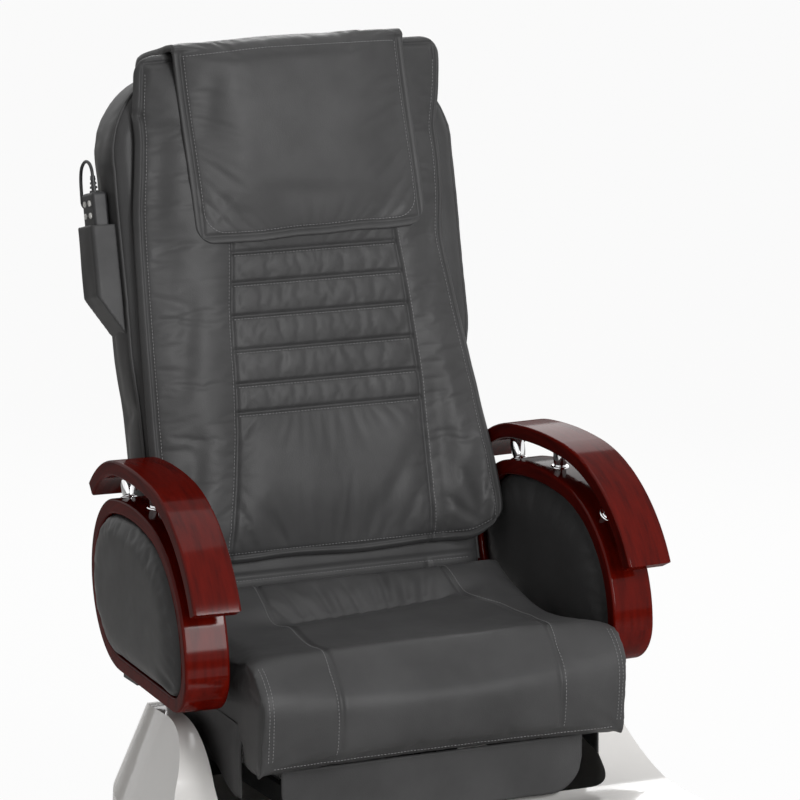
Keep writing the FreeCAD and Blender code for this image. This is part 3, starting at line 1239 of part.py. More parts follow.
def make_handset_case():
    half = HANDSET_WIDTH / 2
    case = box(HANDSET_OUT, HANDSET_OUT + HANDSET_THICK, HANDSET_DEPTH - half, HANDSET_DEPTH + half,
               HANDSET_BOTTOM, HANDSET_TOP)
    case = case.makeFillet(HANDSET_EDGE_R, case.Edges)
    for depth, height in button_places():
        well = rod((HANDSET_OUT, depth, height), (1, 0, 0), BUTTON_R + BUTTON_GAP, BUTTON_SINK + BUTTON_PROUD)
        case = case.cut(well)
    return on_back(case)


def button_places():
    top = HANDSET_TOP - BUTTON_TOP_INSET
    for row in (0, 1):
        for column in (-0.5, 0.5):
            yield HANDSET_DEPTH + column * BUTTON_PITCH_DEPTH, top - row * BUTTON_PITCH_HEIGHT


def make_handset_buttons():
    for depth, height in button_places():
        out = HANDSET_OUT - BUTTON_PROUD
        cap = rod((out, depth, height), (1, 0, 0), BUTTON_R, BUTTON_PROUD + BUTTON_SINK)
        yield on_back(cap.makeFillet(BUTTON_R / 4, [edge_at(cap, V(out, depth, height), BUTTON_R)]))


def make_strain_relief():
    start = V(HANDSET_X, HANDSET_DEPTH, HANDSET_TOP)
    body = Part.makeCone(RELIEF_R, RELIEF_TIP_R, RELIEF_LENGTH, start, V(0, 0, 1))
    core = Part.makeCylinder(RELIEF_CORE_R, RELIEF_LENGTH, start, V(0, 0, 1))
    ribs = RELIEF_LENGTH / 8
    for step in (1, 3, 5):
        ring = rod((HANDSET_X, HANDSET_DEPTH, HANDSET_TOP + step * ribs), (0, 0, 1), RELIEF_R, ribs)
        body = body.cut(ring.cut(core))
    return on_back(body)


def make_lead_grommet():
    x = LEAD_END[0]
    lip = rod((x, LEAD_END[1], LEAD_END[2]), (1, 0, 0), GROMMET_LIP_R, GROMMET_LIP)
    neck = rod((x, LEAD_END[1], LEAD_END[2]), (1, 0, 0), GROMMET_R - FIT, GROMMET_LIP + BODY_WALL)
    return on_back(fused([lip, neck]))


def make_handset_lead():
    """Round lead along straight runs joined by arcs as large as the runs allow."""
    points = [V(*point) for point in LEAD_ROUTE]
    edges = []
    here = points[0]
    for before, corner, after in zip(points, points[1:], points[2:]):
        back = (before - corner).normalize()
        ahead = (after - corner).normalize()
        cut = LEAD_BEND_SHARE * min(before.distanceToPoint(corner), after.distanceToPoint(corner))
        half = (math.pi - back.getAngle(ahead)) / 2
        radius = cut / math.tan(half)
        first = corner + back * cut
        last = corner + ahead * cut
        inward = (back + ahead).normalize()
        middle = corner + inward * (radius / math.cos(half) - radius)
        edges.append(Part.LineSegment(here, first).toShape())
        edges.append(Part.Arc(first, middle, last).toShape())
        here = last
    edges.append(Part.LineSegment(here, points[-1]).toShape())
    path = Part.Wire(edges)
    ring = Part.Wire([Part.Circle(points[0], points[1] - points[0], LEAD_R).toShape()])
    lead = path.makePipeShell([ring], True, False)
    return on_back(lead)


def make_side_pocket():
    """Open-topped pocket with a floor under the handset and a wedge below it that dies into the back."""
    half = HANDSET_WIDTH / 2 + POCKET_ROOM
    x_in = HANDSET_OUT - POCKET_ROOM
    x_out = x_in - POCKET_WALL
    x_back = -BODY_HIGH_HALF
    front = HANDSET_DEPTH - half - POCKET_WALL
    rear = HANDSET_DEPTH + half + POCKET_WALL
    floor = HANDSET_BOTTOM - RUNNER_GAP
    outer = box(x_out, x_back, front, rear, POCKET_FOOT, POCKET_TOP)
    corners = [edge for edge in outer.Edges if edge.BoundBox.ZLength > POCKET_WALL]
    corners = [edge for edge in corners if edge.BoundBox.XMax < x_in]
    outer = outer.makeFillet(2 * POCKET_WALL, corners)
    under = Part.makePolygon([
        V(x_out, front, POCKET_FOOT), V(x_back, front, POCKET_FOOT), V(x_out, front, floor - POCKET_WALL),
        V(x_out, front, POCKET_FOOT)])
    room = box(x_in, x_back, HANDSET_DEPTH - half, HANDSET_DEPTH + half, floor, POCKET_TOP)
    return on_back(outer.cut(slab(under, (0, rear - front, 0))).cut(room))


# Every piece under its own name

PIECES = {
    "base_shell": make_base_shell(),
    "base_board": make_base_board(),
    "foot_basin": make_foot_basin(),
    "footrest": make_footrest(),
    "basin_drain": make_basin_drain(),
    "drain_plug": make_drain_plug(),
    "drain_pipe": make_drain_pipe(),
    "water_jets": make_water_jets(),
    "tap_body": make_tap_body(),
    "tap_lever": make_tap_lever(),
    "mains_inlet": make_mains_inlet(),
    "base_frame": make_base_frame(),
    "slide_rails": make_slide_rails(),
    "slide_actuator": make_slide_actuator(),
    "slide_runners": make_slide_runners(),
    "slide_rod": make_slide_rod(),
    "seat_frame": make_seat_frame(),
    "seat_board": make_seat_board(),
    "seat_cushion": make_seat_cushion(),
    "front_skirt": make_front_skirt(),
    "recline_actuator": make_recline_actuator(),
    "recline_rod": make_recline_rod(),
    "recline_hinge_plates": make_recline_hinge_plates(),
    "recline_pins": make_recline_pins(),
    "arm_pins": make_arm_pins(),
    "back_frame": make_back_frame(),
    "back_shell": make_back_shell(),
    "back_cushion": make_back_cushion(),
    "back_pad": make_back_pad(),
    "head_pillow": make_head_pillow(),
    "massage_guides": make_massage_guides(),
    "massage_carriage": make_massage_carriage(),
    "massage_motor": make_massage_motor(),
    "lead_screw": make_lead_screw(),
    "kneading_shaft": make_kneading_shaft(),
    "massage_rollers": make_massage_rollers(),
    "side_pocket": make_side_pocket(),
    "handset_case": make_handset_case(),
    "handset_strain_relief": make_strain_relief(),
    "handset_lead": make_handset_lead(),
    "lead_grommet": make_lead_grommet(),
}
PAIRED_PIECES = {
    "seat_valance": make_valance(),
    "arm_bracket": make_arm_bracket(),
    "arm_rail": make_arm_rail(),
    "arm_ring": make_arm_ring(),
    "arm_panel": make_arm_panel(),
    "arm_spacers": make_arm_spacers(),
    "arm_hinge": make_arm_hinge(),
}
for name, shape in PAIRED_PIECES.items():
    PIECES[name + "_right"] = shape
    PIECES[name + "_left"] = mirrored(shape)
for number, shape in enumerate(make_handset_buttons(), 1):
    PIECES["handset_button_" + str(number)] = shape
for name, shape in PIECES.items():
    save(name, shape)
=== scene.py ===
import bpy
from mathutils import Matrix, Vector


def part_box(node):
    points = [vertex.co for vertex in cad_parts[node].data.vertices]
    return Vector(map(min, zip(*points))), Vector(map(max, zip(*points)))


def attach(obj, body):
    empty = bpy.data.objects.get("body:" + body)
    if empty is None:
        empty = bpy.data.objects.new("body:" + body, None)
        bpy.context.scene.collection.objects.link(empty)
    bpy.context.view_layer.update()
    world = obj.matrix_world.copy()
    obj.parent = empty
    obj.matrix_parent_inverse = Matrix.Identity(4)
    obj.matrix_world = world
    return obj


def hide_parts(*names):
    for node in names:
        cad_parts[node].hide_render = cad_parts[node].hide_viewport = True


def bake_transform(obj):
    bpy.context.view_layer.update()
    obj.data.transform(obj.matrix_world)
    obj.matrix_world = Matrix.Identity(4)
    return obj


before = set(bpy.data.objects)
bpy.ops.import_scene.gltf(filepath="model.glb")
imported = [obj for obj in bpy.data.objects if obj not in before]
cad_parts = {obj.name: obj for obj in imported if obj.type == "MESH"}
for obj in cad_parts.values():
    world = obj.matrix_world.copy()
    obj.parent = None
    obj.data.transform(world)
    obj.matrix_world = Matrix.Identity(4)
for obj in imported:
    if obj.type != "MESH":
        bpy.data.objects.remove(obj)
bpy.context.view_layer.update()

import math

import bmesh
import bpy
import numpy as np
from bpy.props import FloatProperty, FloatVectorProperty, PointerProperty
from mathutils import Matrix, Vector, noise

bl_info = {
    "name": "Pedicure chair",
    "version": (1, 0, 0),
    "blender": (4, 5, 0),
    "location": "3D View > Sidebar > Chair",
    "description": "Upholsters and finishes a pedicure chair around its CAD frame",
    "category": "Object",
}

# Places that the upholstery shares with the frame: lengths in metres, the end of the seat's roll in degrees

BACK_PLACE = Matrix.Translation((0, 0.442, 0.640)) @ Matrix.Rotation(math.radians(-13), 4, "X")
BACK_HOME = BACK_PLACE.inverted()
BODY_FRONT, BODY_REAR = 0.031, 0.150
BODY_LOW, BODY_TOP = -0.045, 0.755
BODY_HALF_LOW, BODY_HALF_HIGH = 0.262, 0.268
BODY_WAIST, BODY_SHOULDER = 0.250, 0.330
BODY_CORNER = 0.130
BODY_SEAM, BODY_DART = -0.005, 0.171
PAD_LOW, PAD_TOP = 0.015, 0.775
PAD_DEPTH = 0.030
PAD_CORNER = 0.028
CHANNELS = (0.235, 0.277, 0.327, 0.377, 0.4255, 0.4705)
FLAP_HALF, FLAP_LOW = 0.185, 0.488
ARM_DATUM = Vector((0.334, 0.090, 0.690))
ARM_TOE = math.radians(3.15)
PANEL_PROUD = 0.011
LEAD_ROUTE = [(-0.286, 0.083, 0.603), (-0.286, 0.083, 0.616), (-0.2865, 0.101, 0.628), (-0.287, 0.123, 0.620),
              (-0.2875, 0.130, 0.602), (-0.288, 0.1305, 0.581), (-0.2885, 0.131, 0.556), (-0.272, 0.131, 0.556)]
SEAT_HALF_FRONT, SEAT_HALF_REAR = 0.287, 0.266
SEAT_FRONT, SEAT_REAR = 0.034, 0.455
SEAT_ROLL_Y, SEAT_ROLL_Z, SEAT_ROLL_END = 0.13, 0.50, 106
VALANCE_HEM_FRONT, VALANCE_HEM_REAR = 0.402, 0.444
SKIRT_CORNER = 0.050

# How the stitches and the piping lie on the cover, and how long the cloth is left to swell

STITCH_LIFT, PIPING_LIFT = 0.0003, 0.0006
STITCH_BESIDE, STITCH_IN = 0.006, 0.004
RAY_START = 0.2
SIM_FRAMES = 14

# Lines up the back as height and half width, and lines along the seat as depth and half width

PAD_LEFT = ((0.015, 0.262), (0.224, 0.261), (0.387, 0.258), (0.487, 0.255), (0.543, 0.252), (0.590, 0.245),
            (0.648, 0.238), (0.685, 0.239), (0.729, 0.233), (0.775, 0.228))
PAD_RIGHT = ((0.015, 0.272), (0.060, 0.275), (0.170, 0.274), (0.250, 0.272), (0.297, 0.266), (0.357, 0.256),
             (0.407, 0.249), (0.440, 0.244), (0.477, 0.240), (0.537, 0.247), (0.589, 0.249), (0.642, 0.246),
             (0.690, 0.256), (0.738, 0.262), (0.775, 0.262))
PAD_SEAM_LEFT = ((0.040, 0.152), (0.127, 0.138), (0.206, 0.128), (0.285, 0.122), (0.386, 0.119), (0.482, 0.109))
PAD_SEAM_RIGHT = ((0.040, 0.171), (0.260, 0.171), (0.364, 0.164), (0.413, 0.160), (0.482, 0.152))
SEAT_SEAM_LEFT = ((0.034, 0.166), (0.140, 0.158), (0.280, 0.134), (0.320, 0.145), (0.455, 0.128))
SEAT_SEAM_RIGHT = ((0.034, 0.175), (0.080, 0.180), (0.190, 0.199), (0.268, 0.190), (0.310, 0.166), (0.455, 0.160))


# Sizes and colours a user would change

class ChairSizes(bpy.types.PropertyGroup):
    """Sizes of the upholstery"""
    stitch_pitch: FloatProperty(name="Stitch pitch", description="From one stitch to the next",
                                default=0.0052, unit="LENGTH")
    stitch_length: FloatProperty(name="Stitch length", description="Thread that shows in one stitch",
                                 default=0.0036, unit="LENGTH")
    thread: FloatProperty(name="Thread", description="Radius of the sewing thread", default=0.00055, unit="LENGTH")
    piping: FloatProperty(name="Piping", description="Radius of the piping round the back", default=0.0026,
                          unit="LENGTH")
    hem: FloatProperty(name="Hem", description="Width of the flat hem round the pad and the head flap",
                       default=0.0115, unit="LENGTH")
    lead: FloatProperty(name="Lead", description="Radius of the handset's lead", default=0.0025, unit="LENGTH")
    skirt: FloatProperty(name="Cloth", description="Thickness of the skirt and valances", default=0.0022,
                         unit="LENGTH")


class ChairColours(bpy.types.PropertyGroup):
    """Colours of the finishes"""
    leatherette: FloatVectorProperty(name="Leatherette", description="Dark grey cover", subtype="COLOR",
                                     default=(0.052, 0.052, 0.053), min=0, max=1)
    thread: FloatVectorProperty(name="Thread", description="Sewing thread", subtype="COLOR",
                                default=(0.21, 0.21, 0.215), min=0, max=1)
    wood_dark: FloatVectorProperty(name="Wood, dark", description="Dark streaks of the stained wood",
                                   subtype="COLOR", default=(0.028, 0.0014, 0.0010), min=0, max=1)
    wood_red: FloatVectorProperty(name="Wood, red", description="Red streaks of the stained wood",
                                  subtype="COLOR", default=(0.125, 0.0048, 0.0017), min=0, max=1)
    gelcoat: FloatVectorProperty(name="Gelcoat", description="White moulded base", subtype="COLOR",
                                 default=(0.72, 0.71, 0.695), min=0, max=1)


# Small helpers

def only(piece):
    """Makes a piece the one selected and active object."""
    bpy.ops.object.select_all(action="DESELECT")
    piece.select_set(True)
    bpy.context.view_layer.objects.active = piece
    return piece


def apply_all(piece):
    only(piece)
    for modifier in list(piece.modifiers):
        bpy.ops.object.modifier_apply(modifier=modifier.name)


def points_of(piece, key="co"):
    """Array of the vertices' places, or of another of their vectors."""
    flat = np.empty(len(piece.data.vertices) * 3)
    piece.data.vertices.foreach_get(key, flat)
    return flat.reshape(-1, 3)


def set_points(piece, points):
    piece.data.vertices.foreach_set("co", np.ascontiguousarray(points, dtype=np.float64).ravel())
    piece.data.update()


def moved(points, matrix):
    turn = np.array(matrix.to_3x3())
    return points @ turn.T + np.array(matrix.translation)


def step(low, high, value):
    """Smooth rise from 0 at low to 1 at high."""
    t = np.clip((value - low) / (high - low), 0, 1)
    return t * t * (3 - 2 * t)


def dent(distance, width):
    """Bell of the given half width, for grooves and ridges."""
    return np.exp(-(distance / width) ** 2)


def ripple(across, along, seed):
    """Soft noise from -1 to 1 at two scaled coordinates."""
    return np.array([noise.noise(Vector((a, b, seed))) for a, b in zip(across, along)])


def eased(pairs, value, soft=0.012):
    """Line through (place, size) pairs, with its corners eased."""
    places, widths = zip(*pairs)
    near, far = np.interp(value - soft, places, widths), np.interp(value + soft, places, widths)
    return (near + 2 * np.interp(value, places, widths) + far) / 4


def two_sided(left, right, across, value):
    """Half width at a place, on the side that across points to."""
    return np.where(np.asarray(across) < 0, eased(left, value), eased(right, value))


def crease(x, y, start, end, width):
    """Bell round a straight crease that fades to its two ends."""
    start, end = np.array(start), np.array(end)
    run = end - start
    length = np.hypot(*run)
    run = run / length
    along = (x - start[0]) * run[0] + (y - start[1]) * run[1]
    off = (y - start[1]) * run[0] - (x - start[0]) * run[1]
    fade = step(-0.25 * length, 0.35 * length, along) * step(1.2 * length, 0.6 * length, along)
    return dent(off, width) * fade


def corner_inset(distance, radius):
    """How far a rounded corner draws an edge in, at a distance from the edge beside it."""
    short = radius - np.minimum(distance, radius)
    return np.where(distance < radius, radius - np.sqrt(np.maximum(radius ** 2 - short ** 2, 0)), 0)


def edited(piece, operator, **settings):
    """Runs a mesh operator on the whole of a piece."""
    only(piece)
    bpy.ops.object.mode_set(mode="EDIT")
    bpy.ops.mesh.select_all(action="SELECT")
    operator(**settings)
    bpy.ops.object.mode_set(mode="OBJECT")


def outward(piece):
    """Turns the faces of a closed piece outwards."""
    edited(piece, bpy.ops.mesh.normals_make_consistent, inside=False)


def node_copy(source, name):
    """Merged copy of a CAD node's mesh, to shape a soft piece from."""
    piece = bpy.data.objects.new(name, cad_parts[source].data.copy())
    bpy.context.scene.collection.objects.link(piece)
    piece.data.materials.clear()
    edited(piece, bpy.ops.mesh.remove_doubles, threshold=1e-5)
    return piece


def modified(piece, kind, **settings):
    """Gives a piece a modifier with these settings and applies it."""
    change = piece.modifiers.new(kind.lower(), kind)
    for key, value in settings.items():
        setattr(change, key, value)
    apply_all(piece)


def bevelled(piece, width, segments, angle):
    modified(piece, "BEVEL", width=width, segments=segments, limit_method="ANGLE",
             angle_limit=math.radians(angle), use_clamp_overlap=False)


def remeshed(piece, voxel):
    modified(piece, "REMESH", mode="VOXEL", voxel_size=voxel)


def refined(piece):
    modified(piece, "SUBSURF", levels=1, render_levels=1)
    bpy.ops.object.shade_smooth()


def puffed(piece, held, pressure, slack, cap):
    """Swells a piece as stuffed cloth held along its seams, with a cap on how far a point moves."""
    before = points_of(piece)
    group = piece.vertex_groups.new(name="held")
    group.add([int(index) for index in np.flatnonzero(held)], 1.0, "REPLACE")
    cloth = piece.modifiers.new("cloth", "CLOTH")
    cloth.settings.vertex_group_mass = "held"
    cloth.settings.use_pressure = True
    cloth.settings.uniform_pressure_force = pressure
    cloth.settings.effector_weights.gravity = 0
    cloth.settings.shrink_min = -slack
    cloth.point_cache.frame_start = 1
    cloth.point_cache.frame_end = SIM_FRAMES
    scene = bpy.context.scene
    for number in range(1, SIM_FRAMES + 1):
        scene.frame_set(number)
    apply_all(piece)
    scene.frame_set(1)
    move = points_of(piece) - before
    length = np.linalg.norm(move, axis=1, keepdims=True) + 1e-12
    set_points(piece, before + move * cap * np.tanh(length / cap) / length)
    piece.vertex_groups.clear()


def grid(name, columns, rows):
    bpy.ops.object.select_all(action="DESELECT")
    bpy.ops.mesh.primitive_grid_add(x_subdivisions=columns, y_subdivisions=rows, size=2)
    piece = bpy.context.object
    piece.name = name
    return piece


def quilt(name, columns, rows):
    """Flat grid with a second skin: its first half of points is the face and the other half the lining."""
    piece = grid(name, columns, rows)
    modified(piece, "SOLIDIFY", thickness=0.01)
    points = points_of(piece)
    half = len(points) // 2
    return piece, points[:half, 0], (points[:half, 1] + 1) / 2


def curve(name, kind, points, roundness=3):
    """Curve of one spline over points, and that spline."""
    data = bpy.data.curves.new(name, "CURVE")
    data.dimensions = "3D"
    data.bevel_resolution = roundness
    data.use_fill_caps = True
    spline = data.splines.new(kind)
    spline.points.add(len(points) - 1)
    for point, place in zip(spline.points, points):
        point.co = (*place, 1)
    piece = bpy.data.objects.new(name, data)
    bpy.context.scene.collection.objects.link(piece)
    return piece, spline


def tubular(piece, radius):
    """Turns a curve into a round mesh."""
    piece.data.bevel_depth = radius
    only(piece)
    bpy.ops.object.convert(target="MESH")
    bpy.ops.object.shade_smooth()
    return piece


def stitched(name, rows, body):
    """Rows of short stitches as one piece: a stitch repeated along each row's path."""
    sizes = bpy.context.scene.chair_sizes
    pieces = []
    for row in rows:
        if len(row) < 3:
            continue
        path, _ = curve("row", "POLY", row)
        bpy.ops.object.select_all(action="DESELECT")
        bpy.ops.mesh.primitive_uv_sphere_add(segments=6, ring_count=5, radius=1, rotation=(0, math.pi / 2, 0))
        stitch = bpy.context.object
        bpy.ops.object.transform_apply(rotation=True)
        stitch.scale = (sizes.stitch_length / 2, sizes.thread, sizes.thread)
        bpy.ops.object.transform_apply(scale=True)
        bpy.ops.object.shade_smooth()
        modified(stitch, "ARRAY", fit_type="FIT_CURVE", curve=path, use_relative_offset=False,
                 use_constant_offset=True, constant_offset_displace=(sizes.stitch_pitch, 0, 0))
        modified(stitch, "CURVE", object=path)
        bpy.data.objects.remove(path)
        pieces.append(stitch)
    thread = only(pieces[0])
    for piece in pieces:
        piece.select_set(True)
    if len(pieces) > 1:
        bpy.ops.object.join()
    thread.name = name
    thread.data.name = name
    return settle(thread, body, "leatherette", finish_of("thread"))


def on_skin(piece, places, aim):
    """Points where rays along aim, from each place, meet a piece, lifted off it."""
    bpy.context.view_layer.update()
    found = []
    for place in places:
        hit, spot, normal, _ = piece.ray_cast(Vector(place), Vector(aim))
        if hit:
            found.append(spot + normal * STITCH_LIFT)
    return found


def on_back_face(piece, places):
    """Points of a piece's front face at places (x, u) of the back."""
    aim = BACK_PLACE.to_3x3() @ Vector((0, 1, 0))
    return on_skin(piece, [BACK_PLACE @ Vector((x, -RAY_START, u)) for x, u in places], aim)


def span(start, end, pitch=0.006):
    """Evenly spaced places from start to end."""
    start, end = np.array(start), np.array(end)
    count = max(2, int(np.linalg.norm(end - start) / pitch))
    return [tuple(start + (end - start) * i / count) for i in range(count + 1)]


def round_corner(centre, radius, first, last, count=10):
    angles = [math.radians(first + (last - first) * i / count) for i in range(count + 1)]
    return [(centre[0] + radius * math.cos(a), centre[1] + radius * math.sin(a)) for a in angles]


def settle(piece, body, slot, finish, *nodes):
    """Gives a finished piece its material and body, and hides the CAD nodes it stands for. The slot argument is not
    used.
    """
    piece.data.materials.clear()
    piece.data.materials.append(finish)
    if nodes:
        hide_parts(*nodes)
    if body:
        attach(piece, body)
    return piece


def upholster(piece, body, *nodes):
    return settle(piece, body, "leatherette", finish_of("leatherette"), *nodes)


# Finishes

def feed(tree, made, inputs):
    """Links or sets a node's inputs."""
    for key, value in inputs.items():
        if isinstance(value, bpy.types.NodeSocket):
            tree.links.new(value, made.inputs[key])
        else:
            made.inputs[key].default_value = value


def material(name, roughness, metallic=0.0):
    """New material, its node tree and its shader."""
    made = bpy.data.materials.new(name)
    made.use_nodes = True
    shader = made.node_tree.nodes["Principled BSDF"]
    feed(made.node_tree, shader, {"Roughness": roughness, "Metallic": metallic})
    return made, made.node_tree, shader


def node(tree, kind, inputs=None, **settings):
    made = tree.nodes.new(kind)
    for key, value in settings.items():
        setattr(made, key, value)
    feed(tree, made, inputs or {})
    return made


def socket(tree, kind, inputs=None, **settings):
    """First output of a new node."""
    return node(tree, kind, inputs, **settings).outputs[0]


def place_of(tree):
    return node(tree, "ShaderNodeTexCoord").outputs["Object"]


def mapped(tree, where, **inputs):
    """A place moved, turned or scaled."""
    return socket(tree, "ShaderNodeMapping", {"Vector": where, **inputs})


def cloud(tree, where, scale, detail=3.0, roughness=0.55):
    """Noise value at a place."""
    return socket(tree, "ShaderNodeTexNoise", {"Vector": where, "Scale": scale, "Detail": detail,
                                               "Roughness": roughness})


def graded(tree, value, *stops):
    """Colour ramp over a value: stops are (place, colour)."""
    ramp = node(tree, "ShaderNodeValToRGB", {"Fac": value})
    marks = ramp.color_ramp.elements
    while len(marks) < len(stops):
        marks.new(0.5)
    for mark, (place, colour) in zip(marks, stops):
        mark.position = place
        mark.color = (*colour, 1)
    return ramp.outputs["Color"]


def ranged(tree, value, low, high):
    """Value from 0..1 brought to a range."""
    return socket(tree, "ShaderNodeMapRange", {"Value": value, "To Min": low, "To Max": high})


def bumped(tree, height, strength, distance):
    return socket(tree, "ShaderNodeBump", {"Height": height, "Strength": strength, "Distance": distance})


def tint(colour, factor):
    return tuple(min(1.0, channel * factor) for channel in colour)


def make_leatherette(name, colour):
    """Coated cloth with a fine pebble grain and faint wear."""
    made, tree, shader = material(name, 0.42)
    where = place_of(tree)
    worn = cloud(tree, where, 9.0, 4.0)
    pebble = socket(tree, "ShaderNodeTexVoronoi", {"Vector": where, "Scale": 620.0}, feature="SMOOTH_F1")
    feed(tree, shader, {"Base Color": graded(tree, worn, (0.3, tint(colour, 0.82)), (0.7, tint(colour, 1.16))),
                        "Roughness": ranged(tree, cloud(tree, where, 26.0), 0.36, 0.54),
                        "Normal": bumped(tree, pebble, 0.22, 0.0006), "Specular IOR Level": 0.16})
    return made


def make_wood(name, colours, side, centre):
    """Stained and lacquered bent wood whose grain runs round the arm's own centre."""
    made, tree, shader = material(name, 0.34)
    where = mapped(tree, place_of(tree), Location=(-side * ARM_DATUM.x, -ARM_DATUM.y, -ARM_DATUM.z))
    where = mapped(tree, where, Rotation=(0, 0, -side * ARM_TOE))
    where = mapped(tree, where, Location=(0, -centre[0], -centre[1]))
    x, y, z = node(tree, "ShaderNodeSeparateXYZ", {"Vector": where}).outputs
    angle = socket(tree, "ShaderNodeMath", {0: z, 1: y}, operation="ARCTAN2")
    flat = socket(tree, "ShaderNodeCombineXYZ", {"X": y, "Y": z})
    reach = node(tree, "ShaderNodeVectorMath", {0: flat}, operation="LENGTH").outputs["Value"]
    grain = socket(tree, "ShaderNodeCombineXYZ", {"X": angle, "Y": reach, "Z": x})
    streak = cloud(tree, mapped(tree, grain, Scale=(1.3, 60.0, 60.0)), 1.7, 6.0, 0.62)
    red = graded(tree, streak, (0.16, colours.wood_dark), (0.50, tint(colours.wood_red, 0.68)),
                 (0.84, colours.wood_red))
    pore = cloud(tree, mapped(tree, grain, Scale=(9.0, 700.0, 700.0)), 1.0, 2.0)
    feed(tree, shader, {"Base Color": red, "Normal": bumped(tree, pore, 0.05, 0.0004),
                        "Specular IOR Level": 0.0, "Coat Weight": 0.22, "Coat Roughness": 0.10})
    return made


def make_speckled(name, colour, roughness, metallic=0.0, grain=900.0, depth=0.00012, spread=0.12, coat=0.0):
    """Plastic, paint or metal with a fine texture and slight unevenness."""
    made, tree, shader = material(name, roughness, metallic)
    where = place_of(tree)
    uneven = cloud(tree, where, 14.0, 4.0)
    shade = graded(tree, uneven, (0.3, tint(colour, 1 - spread)), (0.7, tint(colour, 1 + spread)))
    gloss = ranged(tree, cloud(tree, where, 45.0), roughness * 0.75, roughness * 1.25)
    feed(tree, shader, {"Base Color": shade, "Roughness": gloss,
                        "Normal": bumped(tree, cloud(tree, where, grain, 2.0), 0.2, depth),
                        "Coat Weight": coat, "Coat Roughness": 0.06})
    return made


def make_plywood(name):
    made, tree, shader = material(name, 0.6)
    drawn = mapped(tree, place_of(tree), Scale=(14.0, 1.5, 240.0))
    shade = graded(tree, cloud(tree, drawn, 3.0, 5.0), (0.3, (0.30, 0.19, 0.10)), (0.7, (0.52, 0.37, 0.21)))
    feed(tree, shader, {"Base Color": shade, "Normal": bumped(tree, cloud(tree, drawn, 9.0), 0.2, 0.0004)})
    return made


# Speckled finishes: name, colour or the user's colour of that name, roughness, and what else they have

SPECKLED = {
    "thread": ("sewing_thread", "thread", 0.65, {"grain": 2400.0}),
    "gelcoat": ("white_gelcoat", "gelcoat", 0.16, {"grain": 60.0, "depth": 0.0006, "spread": 0.015, "coat": 0.6}),
    "plinth": ("plinth_grey", (0.16, 0.16, 0.165), 0.6, {}),
    "chrome": ("chrome_plate", (0.86, 0.86, 0.87), 0.06,
               {"metallic": 1.0, "grain": 120.0, "depth": 0.00004, "spread": 0.03}),
    "steel": ("bright_steel", (0.55, 0.55, 0.56), 0.28, {"metallic": 1.0}),
    "black_steel": ("black_powder_coat", (0.018, 0.018, 0.019), 0.5, {"grain": 1300.0, "depth": 0.0003}),
    "motor": ("motor_grey", (0.20, 0.20, 0.21), 0.45, {}),
    "pipe": ("pipe_grey", (0.42, 0.43, 0.44), 0.42, {}),
    "plastic": ("black_plastic", (0.014, 0.014, 0.015), 0.4, {}),
    "handset": ("handset_black", (0.008, 0.008, 0.009), 0.52, {"grain": 1600.0}),
    "button": ("button_white", (0.72, 0.72, 0.70), 0.38, {"spread": 0.04}),
    "rubber": ("roller_rubber", (0.05, 0.045, 0.04), 0.7, {}),
    "lead": ("lead_black", (0.012, 0.012, 0.013), 0.48, {}),
}
FINISHES = {}


def make_finish(key):
    colours = bpy.context.scene.chair_colours
    if key == "leatherette":
        return make_leatherette("leatherette_grey", tuple(colours.leatherette))
    if key == "plywood":
        return make_plywood("birch_plywood")
    name, colour, roughness, extra = SPECKLED[key]
    if isinstance(colour, str):
        colour = tuple(getattr(colours, colour))
    return make_speckled(name, colour, roughness, **extra)


def finish_of(key):
    """The chair's finish of that name, made once."""
    if key not in FINISHES:
        FINISHES[key] = make_finish(key)
    return FINISHES[key]


# The rigid nodes of each finish, and the centres that the wood's grain runs round

NODE_FINISHES = {
    "gelcoat": ["base_shell", "foot_basin", "footrest"],
    "plinth": ["base_board"],
    "chrome": ["basin_drain", "drain_plug", "water_jets", "tap_body", "tap_lever", "arm_spacers_left",
               "arm_spacers_right"],
    "pipe": ["drain_pipe"],
    "plastic": ["mains_inlet", "lead_grommet", "massage_carriage", "handset_strain_relief"],
    "black_steel": ["base_frame", "seat_frame", "back_frame", "recline_hinge_plates", "arm_bracket_left",
                    "arm_bracket_right", "arm_hinge_left", "arm_hinge_right"],
    "steel": ["slide_rails", "slide_runners", "slide_rod", "recline_rod", "recline_pins", "arm_pins",
              "massage_guides", "lead_screw", "kneading_shaft"],
    "motor": ["slide_actuator", "recline_actuator", "massage_motor"],
    "plywood": ["seat_board"],
    "handset": ["handset_case"],
    "button": ["handset_button_1", "handset_button_2", "handset_button_3", "handset_button_4"],
    "rubber": ["massage_rollers"],
}
GRAIN_CENTRES = {"rail": (0.255, -0.110), "ring": (0.235, -0.110)}


def paint(name, finish):
    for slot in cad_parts[name].material_slots:
        slot.material = finish


# Camera and studio lamps: name, place, aim, size and power

